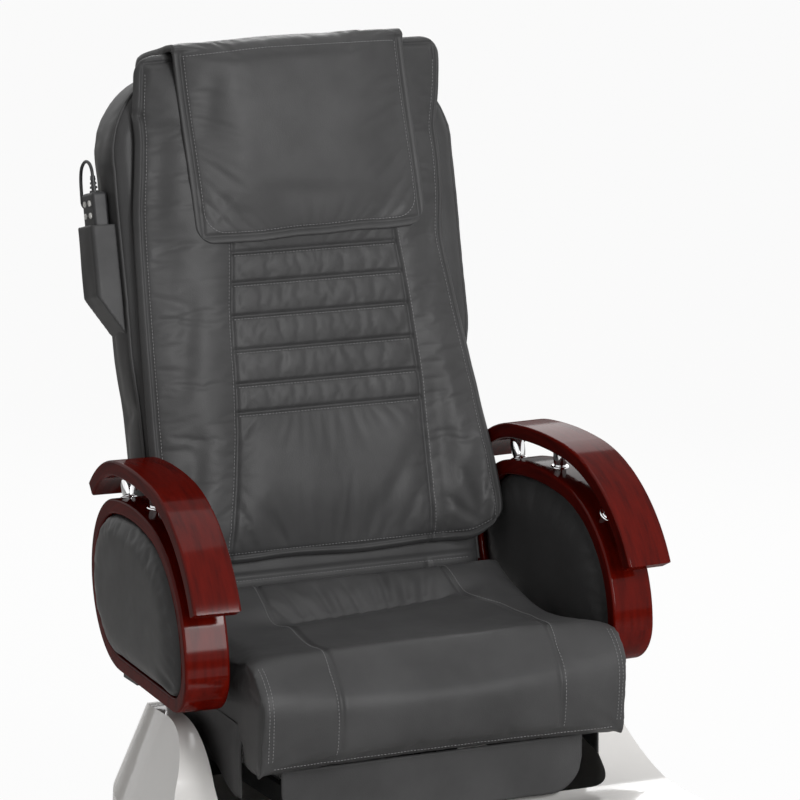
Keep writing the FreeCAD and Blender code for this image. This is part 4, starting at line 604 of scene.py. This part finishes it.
CAMERA_PLACE = (-2.67695, -5.62037, 2.262)
CAMERA_DOWN, CAMERA_TURN = 11.71, -24.7
CAMERA_LENS = 207.7
LAMPS = (("key", (0.4, -3.9, 1.9), (0, 0.2, 0.8), 1.6, 92), ("high", (0.89, -3.3, 2.85), (0, 0.1, 0.7), 0.7, 48),
         ("fill", (-3.0, -2.2, 1.8), (0, 0.2, 0.8), 2.6, 7), ("top", (0.2, 0.6, 3.8), (0, 0.3, 0.8), 2.0, 20),
         ("rear", (1.6, 3.2, 2.2), (0, 0.4, 0.9), 2.0, 40))
WHITE = (1, 1, 1, 1)
WORLD_COLOUR, WORLD_STRENGTH = (0.86, 0.83, 0.79, 1), 0.26
FLOOR_COLOUR, FLOOR_GLOW = (0.86, 0.86, 0.86, 1), 0.94
FLOOR_SIZE, FLOOR_HEIGHT = 60, -0.0005


class CHAIR_OT_stage(bpy.types.Operator):
    """Camera at the photograph's viewing angle, pale floor, soft studio light"""
    bl_idname = "chair.stage"
    bl_label = "Stage"

    def execute(self, context):
        scene = context.scene
        scene.view_settings.view_transform = "Standard"
        lens = bpy.data.cameras.new("camera")
        lens.sensor_width = 36
        lens.lens = CAMERA_LENS
        lens.clip_end = 100
        camera = bpy.data.objects.new("camera", lens)
        camera.location = CAMERA_PLACE
        camera.rotation_euler = (math.radians(90 - CAMERA_DOWN), 0, math.radians(CAMERA_TURN))
        scene.collection.objects.link(camera)
        scene.camera = camera
        for name, place, aim, size, power in LAMPS:
            data = bpy.data.lights.new(name, "AREA")
            data.size = size
            data.energy = power
            lamp = bpy.data.objects.new(name, data)
            lamp.location = place
            lamp.rotation_euler = (Vector(aim) - Vector(place)).to_track_quat("-Z", "Y").to_euler()
            scene.collection.objects.link(lamp)
        world = bpy.data.worlds.new("studio")
        scene.world = world
        world.use_nodes = True
        tree = world.node_tree
        tree.nodes.clear()
        rays = node(tree, "ShaderNodeLightPath").outputs
        seen = rays["Is Camera Ray"]
        for kind in ("Is Glossy Ray", "Is Transmission Ray"):
            seen = socket(tree, "ShaderNodeMath", {0: seen, 1: rays[kind]}, operation="MAXIMUM")
        soft = socket(tree, "ShaderNodeBackground", {"Color": WORLD_COLOUR, "Strength": WORLD_STRENGTH})
        white = socket(tree, "ShaderNodeBackground", {"Color": WHITE, "Strength": 1.0})
        both = socket(tree, "ShaderNodeMixShader", {0: seen, 1: soft, 2: white})
        node(tree, "ShaderNodeOutputWorld", {"Surface": both})
        bpy.ops.object.select_all(action="DESELECT")
        bpy.ops.mesh.primitive_plane_add(size=FLOOR_SIZE, location=(0, 0, FLOOR_HEIGHT))
        floor = context.object
        floor.name = "floor"
        made, tree, shader = material("pale_floor", 0.8)
        feed(tree, shader, {"Base Color": FLOOR_COLOUR})
        glow = socket(tree, "ShaderNodeEmission", {"Color": WHITE, "Strength": 1.0})
        seen = node(tree, "ShaderNodeLightPath").outputs["Is Camera Ray"]
        share = socket(tree, "ShaderNodeMath", {0: seen, 1: FLOOR_GLOW}, operation="MULTIPLY")
        pale = socket(tree, "ShaderNodeMixShader", {0: share, 1: shader.outputs[0], 2: glow})
        tree.links.new(pale, tree.nodes["Material Output"].inputs["Surface"])
        floor.data.materials.append(made)
        return {"FINISHED"}


class CHAIR_OT_lead(bpy.types.Operator):
    """Handset lead, one smooth loop from the strain relief to the grommet in the back's side"""
    bl_idname = "chair.lead"
    bl_label = "Handset lead"

    def execute(self, context):
        sizes = context.scene.chair_sizes
        route = [BACK_PLACE @ Vector(point) for point in LEAD_ROUTE]
        piece, spline = curve("handset_cord", "NURBS", route, 4)
        piece.data.resolution_u = 16
        spline.order_u = 3
        spline.use_endpoint_u = True
        context.view_layer.update()
        centre = bpy.data.meshes.new_from_object(piece)
        tubular(piece, sizes.lead)
        settle(piece, None, "lead_black", finish_of("lead"), "handset_lead")
        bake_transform(piece)
        return {"FINISHED"}


class CHAIR_OT_finishes(bpy.types.Operator):
    """Finishes of the rigid nodes that are shown as they are"""
    bl_idname = "chair.finishes"
    bl_label = "Rigid finishes"

    def execute(self, context):
        colours = context.scene.chair_colours
        for key, names in NODE_FINISHES.items():
            for name in names:
                paint(name, finish_of(key))
        for side, hand in ((1, "right"), (-1, "left")):
            for part, centre in GRAIN_CENTRES.items():
                paint(f"arm_{part}_{hand}", make_wood(f"mahogany_{part}_{hand}", colours, side, centre))
        return {"FINISHED"}


def body_outline(grow):
    """Places (x, u) round the back body, from the lower right corner over the top to the lower left one."""
    low, half = BODY_HALF_LOW + grow, BODY_HALF_HIGH + grow
    top = BODY_TOP + grow
    corner = BODY_CORNER + grow
    right = span((low, BODY_LOW + 0.03), (low, BODY_WAIST))
    right += span((low, BODY_WAIST), (half, BODY_SHOULDER))[1:]
    right += span((half, BODY_SHOULDER), (half, top - corner))[1:]
    right += round_corner((half - corner, top - corner), corner, 0, 90, 14)[1:]
    left = [(-x, u) for x, u in reversed(right)]
    return right + span(right[-1], left[0])[1:-1] + left


def body_lean(x, u):
    """How far the body's right side stands out, where the stuffing sits unevenly."""
    return 0.011 * step(0.20, 0.26, x) * step(0.26, 0.36, u) * step(0.755, 0.62, u)


class CHAIR_OT_back_body(bpy.types.Operator):
    """Upholstered body of the back with its piping"""
    bl_idname = "chair.back_body"
    bl_label = "Back body"

    def execute(self, context):
        bpy.ops.object.select_all(action="DESELECT")
        middle = (0, (BODY_FRONT + BODY_REAR) / 2, (BODY_LOW + BODY_TOP) / 2)
        bpy.ops.mesh.primitive_cube_add(size=1, location=middle)
        piece = context.object
        piece.name = "back_body"
        piece.scale = (2 * BODY_HALF_HIGH, BODY_REAR - BODY_FRONT, BODY_TOP - BODY_LOW)
        bpy.ops.object.transform_apply(location=True, scale=True)
        bpy.ops.object.mode_set(mode="EDIT")
        bpy.ops.mesh.select_mode(type="EDGE")
        for level in (BODY_WAIST, BODY_SHOULDER):
            bpy.ops.mesh.select_all(action="SELECT")
            bpy.ops.mesh.bisect(plane_co=(0, 0, level), plane_no=(0, 0, 1))
        bpy.ops.mesh.select_all(action="DESELECT")
        shape = bmesh.from_edit_mesh(piece.data)
        for vertex in shape.verts:
            if vertex.co.z < BODY_WAIST + 1e-4:
                vertex.co.x *= BODY_HALF_LOW / BODY_HALF_HIGH
        for edge in shape.edges:
            ends = [vertex.co for vertex in edge.verts]
            edge.select_set(abs(ends[0].y - ends[1].y) > 0.05 and min(ends[0].z, ends[1].z) > BODY_TOP - 1e-4)
        bmesh.update_edit_mesh(piece.data)
        bpy.ops.mesh.bevel(offset=BODY_CORNER, segments=14, affect="EDGES")
        bpy.ops.object.mode_set(mode="OBJECT")
        bevelled(piece, width=0.022, segments=5, angle=50)
        remeshed(piece, 0.008)
        puffed(piece, points_of(piece)[:, 1] < BODY_FRONT + 0.012, pressure=3.0, slack=0.004, cap=0.006)
        refined(piece)
        points = points_of(piece)
        x, v, u = points.T
        side = step(0.05, 0.075, v) * step(0.145, 0.12, v)
        wave = ripple(u * 9, v * 14, 3.1) + 0.5 * ripple(u * 24, v * 30, 8.4)
        outside = step(0.20, 0.24, np.abs(x))
        points[:, 0] += np.sign(x) * wave * 0.0014 * side * outside + body_lean(x, u)
        behind = step(0.135, 0.147, v)
        points[:, 1] -= behind * (0.003 * dent(np.abs(x) - 0.17, 0.004) + 0.003 * dent(u - 0.12, 0.004))
        points[:, 1] = np.clip(points[:, 1], BODY_FRONT - 0.0005, BODY_REAR + 0.001)
        before = step(BODY_FRONT + 0.008, BODY_FRONT + 0.002, v)
        beside = u - BODY_SEAM
        low = 0.004 * dent(beside, 0.0035) + 0.003 * dent(x - BODY_DART, 0.003) * step(0.0, -0.01, beside)
        points[:, 1] += before * (low + 0.0015 * ripple(x * 14, u * 20, 6.6) * step(0.03, 0.0, u))
        set_points(piece, moved(points, BACK_PLACE))
        upholster(piece, "backrest", "back_shell", "back_cushion")
        level = BODY_SEAM - STITCH_BESIDE
        stitched("back_body_stitches", [on_back_face(piece, span((-0.238, level), (0.238, level)))], "backrest")
        context.view_layer.update()
        path = []
        for x, u in body_outline(0.001):
            near = BACK_PLACE @ Vector((x + float(body_lean(x, u)), BODY_FRONT + 0.012, u))
            _, spot, normal, _ = piece.closest_point_on_mesh(near)
            path.append(spot + normal * PIPING_LIFT)
        trim, _ = curve("back_piping", "POLY", path)
        upholster(tubular(trim, context.scene.chair_sizes.piping), "backrest")
        return {"FINISHED"}


def pad_half(u, across):
    """Half width of the pad on that side."""
    return two_sided(PAD_LEFT, PAD_RIGHT, across, u)


def seam_x(u, across):
    """Half width to the pad's long seam on that side."""
    return two_sided(PAD_SEAM_LEFT, PAD_SEAM_RIGHT, across, u)


def corner_lift(x, u):
    """How far the pad's loose lower right corner stands forward, and how far its hem curls up."""
    return 0.050 * step(0.19, 0.275, x) * step(0.29, 0.06, u), 0.026 * step(0.222, 0.277, x) * step(0.09, 0.01, u)


def two_skins(piece, face, lining):
    """Lays out a quilt's face and lining."""
    set_points(piece, np.concatenate([np.stack(face, 1), np.stack(lining, 1)]))
    outward(piece)


def laid(share, cells, marks):
    """Places of grid lines, with a whole number of cells between each two marks."""
    ends = np.concatenate([[0], np.cumsum(cells)])
    count = share * ends[-1]
    place = marks[0] + 0 * share
    for first, last, low, high in zip(ends, ends[1:], marks, marks[1:]):
        place = place + (high - low) * np.clip((count - first) / (last - first), 0, 1)
    return place


# The pad's cells between hems, seams and channels, and its creases: start, end, depth and width

PAD_COLUMNS = (4, 28, 66, 28, 4)
PAD_ROWS = (4, 50, 10, 12, 12, 12, 11, 70, 4)
PAD_CREASES = (((0.243, 0.036), (0.262, 0.125), 0.0035, 0.008), ((0.236, 0.040), (0.222, 0.130), 0.0035, 0.009),
               ((0.240, 0.036), (0.195, 0.085), 0.0030, 0.008), ((0.205, 0.060), (0.262, 0.215), 0.0050, 0.015),
               ((0.190, 0.020), (0.205, 0.060), 0.0025, 0.008), ((0.200, 0.10), (0.196, 0.30), 0.0035, 0.018),
               ((0.150, 0.165), (0.075, 0.050), 0.0020, 0.013), ((0.160, 0.105), (0.115, 0.035), 0.0018, 0.011),
               ((-0.246, 0.690), (-0.222, 0.682), 0.006, 0.007), ((-0.215, 0.520), (-0.200, 0.66), 0.004, 0.016),
               ((0.205, 0.40), (0.225, 0.66), 0.0035, 0.016), ((0.185, 0.330), (0.215, 0.52), 0.0030, 0.016),
               ((-0.205, 0.280), (-0.180, 0.44), 0.004, 0.016), ((-0.215, 0.06), (-0.190, 0.22), 0.004, 0.016),
               ((-0.110, 0.100), (-0.060, 0.030), 0.0025, 0.010))


class CHAIR_OT_back_pad(bpy.types.Operator):
    """Loose overlay pad of the back with sewn channels, long seams and a hem"""
    bl_idname = "chair.back_pad"
    bl_label = "Back pad"

    def execute(self, context):
        sizes = context.scene.chair_sizes
        piece, across, up = quilt("back_overlay", sum(PAD_COLUMNS), sum(PAD_ROWS))
        u = laid(up, PAD_ROWS, (PAD_LOW, PAD_LOW + sizes.hem, *CHANNELS, PAD_TOP - sizes.hem, PAD_TOP))
        rise = np.minimum(u - PAD_LOW, PAD_TOP - u)
        tuck = corner_inset(rise, PAD_CORNER)
        left, right = eased(PAD_LEFT, u) - tuck, eased(PAD_RIGHT, u) - tuck
        x = laid((across + 1) / 2, PAD_COLUMNS, (-left, sizes.hem - left, -eased(PAD_SEAM_LEFT, u),
                                                 eased(PAD_SEAM_RIGHT, u), right - sizes.hem, right))
        inset = np.minimum(np.minimum(x + left, right - x), rise)
        seam = np.abs(np.abs(x) - seam_x(u, x))
        middle = np.abs(x) < seam_x(u, x) + 0.001
        rib = np.min([np.abs(u - level) for level in CHANNELS], axis=0)
        face = 0.021 - 0.008 * step(0, 0.006, inset) - 0.005 * step(0.0, 0.010, inset - sizes.hem)
        face -= 0.007 * step(0.0, 0.05, inset - sizes.hem)
        lining = PAD_DEPTH - 0.001 - 0.004 * step(0.02, 0.0, inset)
        two_skins(piece, [x, face, u], [x, lining, u])
        held = (inset < sizes.hem + 0.0005) | (seam < 0.0005) | (rib < 0.0005) & middle
        puffed(piece, np.concatenate([held, np.ones_like(held)]), pressure=5.0, slack=0.012, cap=0.010)
        refined(piece)
        points = points_of(piece)
        x, v, u = points.T
        front = step(0.026, 0.020, v)
        inset = np.minimum(pad_half(u, x) - np.abs(x), np.minimum(u - PAD_LOW, PAD_TOP - u))
        off = np.abs(x) - seam_x(u, x)
        inner = step(0.004, -0.004, off)
        flank = (1 - inner) * step(0.012, 0.05, inset)
        rib = np.min([np.abs(u - level) for level in CHANNELS], axis=0)
        sewn = dent(inset - sizes.hem, 0.0028) * 0.003 + dent(off, 0.0028) * 0.0035 * step(0.50, 0.48, u)
        sewn += dent(rib, 0.0030) * 0.0045 * inner
        drape = ripple(x * 13 + u * 3, u * 4.5, 1.7) + 0.35 * ripple(x * 30 - u * 6, u * 9, 5.2)
        sag = sewn + 0.0030 * drape * flank + 0.0014 * drape * inner * step(0.237, 0.20, u)
        for start, end, deep, width in PAD_CREASES:
            sag += deep * crease(x, u, start, end, width)
        points[:, 1] += front * sag
        points[:, 1] = np.clip(points[:, 1], -0.009, PAD_DEPTH)
        wave = step(0.05, 0.0, u - PAD_LOW) * ripple(x * 9, u * 2, 9.3)
        forward, curl = corner_lift(x, u)
        points[:, 1] -= forward
        points[:, 2] += curl + 0.004 * wave - 0.007 * step(-0.05, -0.24, x) * step(0.60, 0.775, u)
        set_points(piece, moved(points, BACK_PLACE))
        upholster(piece, "backrest", "back_pad")
        self.sew(piece, sizes.hem)
        return {"FINISHED"}

    def sew(self, piece, hem):
        """Stitches beside the long seams, along the channels and along the hem."""
        rows = []
        levels = np.linspace(PAD_LOW + hem, FLAP_LOW + 0.01, 90)
        for side in (-1, 1):
            rows.append([(side * (float(seam_x(u, side)) + STITCH_BESIDE), float(u)) for u in levels])
        for channel in CHANNELS:
            left, right = float(seam_x(channel, -1)), float(seam_x(channel, 1))
            level = channel - 0.0045
            rows.append(span((0.004 - left, level), (right - 0.004, level)))
        in_by = hem + STITCH_IN
        low, top = PAD_LOW + in_by, PAD_TOP - in_by
        left, right = float(pad_half(low, -1)), float(pad_half(low, 1))
        rows.append([(x, u + float(corner_lift(x, u)[1])) for x, u in span((0.02 - left, low), (right - 0.02, low))])
        for side in (-1, 1):
            rows.append([(side * (float(pad_half(u, side)) - in_by), float(u))
                         for u in np.linspace(low + 0.02, top - 0.02, 110)])
        stitched("back_overlay_stitches", [on_back_face(piece, row) for row in rows], "backrest")


# The flap's face and lining from its lower edge over the top, its cells, and creases like the pad's

FLAP_FACE = [(-0.008, 0.4885), (-0.013, 0.4955), (-0.0165, 0.515), (-0.0195, 0.60), (-0.0200, 0.70), (-0.019, 0.755),
             (-0.014, 0.777), (-0.004, 0.7865), (0.02, 0.7885), (0.07, 0.7875), (0.12, 0.7865), (0.143, 0.783),
             (0.1525, 0.772), (0.1535, 0.74), (0.1535, 0.69), (0.1535, 0.629)]
FLAP_LINING = [(-0.003, 0.4875), (-0.002, 0.4955), (-0.0015, 0.515), (-0.0015, 0.60), (-0.0015, 0.70), (-0.0015, 0.755),
               (-0.0015, 0.772), (0.0, 0.7765), (0.02, 0.7775), (0.029, 0.7765), (0.034, 0.757), (0.07, 0.7565),
               (0.12, 0.7575), (0.139, 0.757), (0.150, 0.750), (0.151, 0.74), (0.151, 0.69), (0.151, 0.629)]
FLAP_COLUMNS = (4, 82, 4)
FLAP_ROWS = 150
FLAP_CORNER = 0.030
FLAP_CREASES = (((-0.150, 0.650), (-0.130, 0.740), 0.003, 0.016), ((-0.150, 0.510), (-0.135, 0.56), 0.002, 0.012),
                ((0.100, 0.500), (0.140, 0.530), 0.002, 0.012), ((-0.080, 0.560), (0.060, 0.545), 0.002, 0.016),
                ((0.150, 0.620), (0.165, 0.720), 0.002, 0.014))


def flap_set(x, v, u):
    """How the flap hangs: askew towards its lower edge, which slopes and waves a little."""
    down = step(0.78, 0.48, u) * step(0.05, 0.02, v)
    wave = np.array([noise.noise(Vector((11 * float(place), 0, 6.3))) for place in np.atleast_1d(x)])
    low = step(0.60, 0.49, u) * step(0.05, 0.02, v)
    slope = 0.006 * step(-0.02, -0.18, x) * step(0.60, 0.77, u)
    return 0.007 + 0.011 * down, low * (0.022 * x + 0.004 * (wave if np.ndim(x) else wave[0])) - slope


def along_path(path, share):
    """Place at each share of a path's length, on a smooth line through its points."""
    path = np.array(path)
    runs = np.concatenate([[0], np.cumsum(np.linalg.norm(np.diff(path, axis=0), axis=1))])
    fine = np.linspace(0, 1, 400)
    kernel = np.hanning(13)
    kernel /= kernel.sum()
    found = []
    for values in path.T:
        values = np.interp(fine, runs / runs[-1], values)
        values = np.convolve(np.pad(values, 6, mode="reflect", reflect_type="odd"), kernel, "valid")
        found.append(np.interp(share, fine, values))
    return found


class CHAIR_OT_head_flap(bpy.types.Operator):
    """Padded head flap hung over the top of the back, with a thin tail behind"""
    bl_idname = "chair.head_flap"
    bl_label = "Head flap"

    def execute(self, context):
        sizes = context.scene.chair_sizes
        piece, across, up = quilt("head_flap", sum(FLAP_COLUMNS), FLAP_ROWS)
        face_v, face_u = along_path(FLAP_FACE, up)
        back_v, back_u = along_path(FLAP_LINING, up)
        low = np.where(face_v < 0.06, face_u - FLAP_LOW, 1.0)
        half = FLAP_HALF - corner_inset(low, FLAP_CORNER)
        x = laid((across + 1) / 2, FLAP_COLUMNS, (-half, sizes.hem - half, half - sizes.hem, half))
        inset = np.minimum(half - np.abs(x), low)
        thin = step(0.075, 0.0, inset - sizes.hem) * step(0.08, 0.02, face_v)
        face_v = face_v + (back_v - 0.007 - face_v) * thin * (face_u < 0.776)
        two_skins(piece, [x, face_v, face_u], [x, back_v, back_u])
        held = (inset < sizes.hem + 0.0005) | (face_v > 0.02)
        puffed(piece, np.concatenate([held, np.ones_like(held)]), pressure=4.0, slack=0.012, cap=0.008)
        refined(piece)
        points = points_of(piece)
        x, v, u = points.T
        front = step(0.004, -0.004, v) * step(0.79, 0.76, u)
        inset = np.minimum(FLAP_HALF - np.abs(x), u - FLAP_LOW)
        drape = ripple(x * 8 + u * 5, u * 6, 2.6) + 0.3 * ripple(x * 20, u * 15, 7.7)
        sag = 0.003 * dent(inset - sizes.hem, 0.0028) + 0.0024 * drape * step(0.015, 0.06, inset)
        for start, end, deep, width in FLAP_CREASES:
            sag += deep * crease(x, u, start, end, width)
        points[:, 1] += front * sag
        points[:, 2] += step(0.77, 0.785, u) * 0.0016 * ripple(x * 14, v * 20, 4.4)
        aside, lower = flap_set(x, v, u)
        points[:, 0] += aside
        points[:, 2] += lower
        set_points(piece, moved(points, BACK_PLACE))
        upholster(piece, "backrest", "head_pillow")
        self.sew(piece, sizes.hem + STITCH_IN)
        return {"FINISHED"}

    def sew(self, piece, in_by):
        """Stitches round the hem, and one row across the top."""
        edge = FLAP_HALF - in_by
        low = FLAP_LOW + in_by
        bend = FLAP_CORNER
        turn = edge - bend
        hem = span((edge, 0.765), (edge, low + bend)) + round_corner((turn, low + bend), bend, 0, -90)[1:]
        hem += span((turn, low), (-turn, low))[1:] + round_corner((-turn, low + bend), bend, 270, 180)[1:]
        hem += span((-edge, low + bend), (-edge, 0.765))[1:]
        rows = []
        for path in (hem, span((-edge, 0.768), (edge, 0.768))):
            moves = [flap_set(x, 0.0, u) for x, u in path]
            path = [(x + float(aside), u + float(lower)) for (x, u), (aside, lower) in zip(path, moves)]
            rows.append(on_back_face(piece, path))
        stitched("head_flap_stitches", rows, "backrest")


def seat_half(y):
    """Half width of the seat at a depth."""
    return SEAT_HALF_FRONT + (SEAT_HALF_REAR - SEAT_HALF_FRONT) * (y - SEAT_FRONT) / (SEAT_REAR - SEAT_FRONT)


def seat_seam(y, across):
    """Half width to the seat's long seam on that side."""
    return two_sided(SEAT_SEAM_LEFT, SEAT_SEAM_RIGHT, across, y)


# Gathers behind the seat's valley: middle, lean, length and depth

GATHERS = ((-0.112, -0.030, 0.060, 0.0022), (-0.090, -0.016, 0.085, 0.0030), (-0.071, -0.020, 0.055, 0.0022),
           (-0.046, -0.006, 0.080, 0.0034), (-0.028, 0.004, 0.050, 0.0020), (-0.002, -0.004, 0.075, 0.0030),
           (0.026, 0.010, 0.060, 0.0026), (0.043, 0.018, 0.085, 0.0032), (0.072, 0.016, 0.055, 0.0022),
           (0.098, 0.028, 0.065, 0.0020))


def seat_valley(x):
    """Depth at which the seat's cover is drawn down, across the seat."""
    return 0.3255 + 0.10 * x


class CHAIR_OT_seat_cushion(bpy.types.Operator):
    """Seat cushion with a waterfall front, two long seams, stitches and gathers in its valley"""
    bl_idname = "chair.seat_cushion"
    bl_label = "Seat cushion"

    def execute(self, context):
        piece = node_copy("seat_cushion", "seat_cover")
        bevelled(piece, width=0.014, segments=4, angle=40)
        remeshed(piece, 0.006)
        x, y, z = points_of(piece).T
        held = (z < 0.50) & (y > 0.10) | (np.abs(np.abs(x) - seat_half(y)) < 0.004) & (z < 0.56)
        puffed(piece, held, pressure=5.0, slack=0.006, cap=0.010)
        refined(piece)
        points = points_of(piece)
        normals = points_of(piece, "normal")
        x, y, z = points.T
        upper = step(0.2, 0.5, normals[:, 2] - normals[:, 1])
        flank = step(0.75, 0.9, np.abs(normals[:, 0]))
        sink = 0.0035 * dent(np.abs(x) - seat_seam(y, x), 0.0032)
        back = y - seat_valley(x)
        middle = step(0.15, 0.11, np.abs(x - 0.012))
        sink += 0.012 * dent(back, 0.030) * step(0.25, 0.12, np.abs(x)) + 0.004 * dent(back, 0.005) * middle
        sink += 0.0012 * (ripple(x * 20, y * 8, 6.1) + 0.5 * ripple(x * 50, y * 20, 2.2)) * step(-0.06, 0.0, back)
        sink += 0.0020 * ripple(x * 7, y * 6, 3.8) * step(0.02, -0.05, back)
        for place, lean, reach, deep in GATHERS:
            start = seat_valley(place) - 0.004
            sink += deep * crease(x, y, (place, start), (place + lean, start + reach), 0.0060)
            sink -= 0.6 * deep * crease(x, y, (place + 0.013, start), (place + lean + 0.015, start + reach), 0.0065)
        points -= normals * (upper * sink)[:, None]
        wave = 0.0015 * ripple(y * 10, z * 12, 5.5)
        points[:, 0] += np.sign(x) * flank * (wave - 0.0015)
        points[:, 0] = np.clip(points[:, 0], -SEAT_HALF_FRONT - 0.004, SEAT_HALF_FRONT + 0.004)
        set_points(piece, points)
        upholster(piece, "seat", "seat_cushion")
        self.sew(piece)
        return {"FINISHED"}

    def sew(self, piece):
        """Stitches beside the long seams, and along the edges of the front."""
        rows = []
        angles = np.linspace(3, SEAT_ROLL_END, 40)
        depths = SEAT_ROLL_Y - 0.12 * np.tan(np.radians(np.minimum(angles, 80)))
        for side in (-1, 1):
            top = [(side * (float(seat_seam(y, side)) + STITCH_BESIDE), float(y), 0.8)
                   for y in np.linspace(0.43, SEAT_ROLL_Y, 60)]
            seam = [float(seat_seam(y, side)) + STITCH_BESIDE for y in np.maximum(depths, SEAT_FRONT)]
            rows.append(on_skin(piece, top, (0, 0, -1)) + self.over_front(piece, side, seam, 3))
            for inset in (0.013, 0.019):
                rows.append(self.over_front(piece, side, [SEAT_HALF_FRONT - inset] * 40, 30))
        low = [(x, -RAY_START, 0.463) for x, _ in span((-0.262, 0), (0.262, 0))]
        rows.append(on_skin(piece, low, (0, 1, 0)))
        stitched("seat_cover_stitches", rows, "seat")

    def over_front(self, piece, side, widths, first):
        """Points over the seat's rounded front, at a half width for each angle from the top."""
        found = []
        for x, angle in zip(widths, np.radians(np.linspace(first, SEAT_ROLL_END, len(widths)))):
            aim = Vector((0, math.sin(angle), -math.cos(angle)))
            found += on_skin(piece, [Vector((side * x, SEAT_ROLL_Y, SEAT_ROLL_Z)) - aim * 0.4], aim)
        return found


def cloth_flap(name, columns, rows, shape):
    """Hung cloth: a grid laid out by a function of its two shares, then given its thickness."""
    piece = grid(name, columns, rows)
    points = points_of(piece)
    set_points(piece, shape((points[:, 0] + 1) / 2, (points[:, 1] + 1) / 2))
    area = sum(face.area for face in piece.data.polygons)
    modified(piece, "SOLIDIFY", thickness=bpy.context.scene.chair_sizes.skirt, offset=0)
    outward(piece)
    bpy.ops.object.shade_smooth()
    return piece, area


class CHAIR_OT_skirts(bpy.types.Operator):
    """Front skirt and side valances, hung from the seat"""
    bl_idname = "chair.skirts"
    bl_label = "Skirt and valances"

    def execute(self, context):
        low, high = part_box("front_skirt")
        width, drop = high.x - low.x, high.z - low.z
        y = (low.y + high.y) / 2

        def front(across, up):
            x = low.x + width * across
            hem = low.z + corner_inset(np.minimum(x - low.x, high.x - x), SKIRT_CORNER)
            z = hem + (high.z - hem) * up
            fold = 0.0035 * ripple(x * 16, z * 5, 3.3) + 0.002 * ripple(x * 40, z * 8, 1.1)
            return np.stack([x, y + fold * (1 - up), z], 1)

        piece, area = cloth_flap("front_skirt_cloth", 120, 20, front)
        upholster(piece, "seat", "front_skirt")
        for side, hand in ((1, "right"), (-1, "left")):
            self.valance(side, hand)
        return {"FINISHED"}

    def valance(self, side, hand):
        node_name = f"seat_valance_{hand}"
        low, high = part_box(node_name)
        outer, inner = max(abs(low.x), abs(high.x)), min(abs(low.x), abs(high.x))
        length, drop = high.y - low.y, high.z - low.z

        def hung(across, up):
            y = low.y + length * across
            hem = VALANCE_HEM_FRONT + (VALANCE_HEM_REAR - VALANCE_HEM_FRONT) * step(0, 0.45, across)
            z = hem + (high.z - hem) * up
            x = outer - 0.0015 + (inner - outer + 0.003) * across
            x = x - 0.0035 * step(0.55, 1.0, up) - 0.0040 * step(0.06, 0.0, across)
            fold = 0.002 * ripple(y * 18, z * 6, 4.7 + side) * (1 - up)
            return np.stack([side * (x + fold), y, z], 1)

        piece, area = cloth_flap(f"seat_valance_cloth_{hand}", 70, 24, hung)
        upholster(piece, "seat", node_name)


class CHAIR_OT_arm_panels(bpy.types.Operator):
    """Padded panels inside the arm rings"""
    bl_idname = "chair.arm_panels"
    bl_label = "Arm panels"

    def execute(self, context):
        for side, hand in ((1, "right"), (-1, "left")):
            piece = node_copy(f"arm_panel_{hand}", f"arm_pad_{hand}")
            turn = Matrix.Rotation(-side * ARM_TOE, 4, "Z") @ Matrix.Translation(
                -Vector((side * ARM_DATUM.x, ARM_DATUM.y, ARM_DATUM.z)))
            local = moved(points_of(piece), turn)
            local[:, 0] += side * PANEL_PROUD * (local[:, 0] * side > 0)
            set_points(piece, moved(local, turn.inverted()))
            bevelled(piece, width=0.009, segments=5, angle=50)
            remeshed(piece, 0.005)
            held = np.abs(moved(points_of(piece), turn)[:, 0]) < 0.022
            puffed(piece, held, pressure=3.0, slack=0.0, cap=0.006)
            refined(piece)
            upholster(piece, f"arm_{hand}", f"arm_panel_{hand}")
        return {"FINISHED"}


class CHAIR_OT_side_pocket(bpy.types.Operator):
    """Sewn pocket for the handset on the back's side"""
    bl_idname = "chair.side_pocket"
    bl_label = "Side pocket"

    def execute(self, context):
        piece = node_copy("side_pocket", "handset_pocket")
        remeshed(piece, 0.0018)
        modified(piece, "SMOOTH", factor=0.5, iterations=6)
        bpy.ops.object.shade_smooth()
        points = moved(points_of(piece), BACK_HOME)
        x, v, u = points.T
        points[:, 0] += 0.0014 * ripple(v * 30, u * 16, 2.9) * step(-0.29, -0.30, x)
        set_points(piece, moved(points, BACK_PLACE))
        upholster(piece, "backrest", "side_pocket")
        return {"FINISHED"}


STEPS = (CHAIR_OT_stage, CHAIR_OT_lead, CHAIR_OT_finishes, CHAIR_OT_back_body, CHAIR_OT_back_pad, CHAIR_OT_head_flap,
         CHAIR_OT_seat_cushion, CHAIR_OT_skirts, CHAIR_OT_arm_panels, CHAIR_OT_side_pocket)


class CHAIR_PT_panel(bpy.types.Panel):
    """Lists the chair's sizes, colours and steps"""
    bl_idname = "CHAIR_PT_panel"
    bl_label = "Pedicure chair"
    bl_space_type = "VIEW_3D"
    bl_region_type = "UI"
    bl_category = "Chair"

    def draw(self, context):
        for group in (context.scene.chair_sizes, context.scene.chair_colours):
            for key in group.__annotations__:
                self.layout.prop(group, key)
        for item in STEPS:
            self.layout.operator(item.bl_idname)


CLASSES = (ChairSizes, ChairColours, *STEPS, CHAIR_PT_panel)


def register():
    for item in CLASSES:
        bpy.utils.register_class(item)
    bpy.types.Scene.chair_sizes = PointerProperty(type=ChairSizes)
    bpy.types.Scene.chair_colours = PointerProperty(type=ChairColours)


def unregister():
    del bpy.types.Scene.chair_colours
    del bpy.types.Scene.chair_sizes
    for item in reversed(CLASSES):
        bpy.utils.unregister_class(item)


def main():
    register()
    for item in STEPS:
        group, name = item.bl_idname.split(".")
        getattr(getattr(bpy.ops, group), name)()


if __name__ == "__main__":
    main()
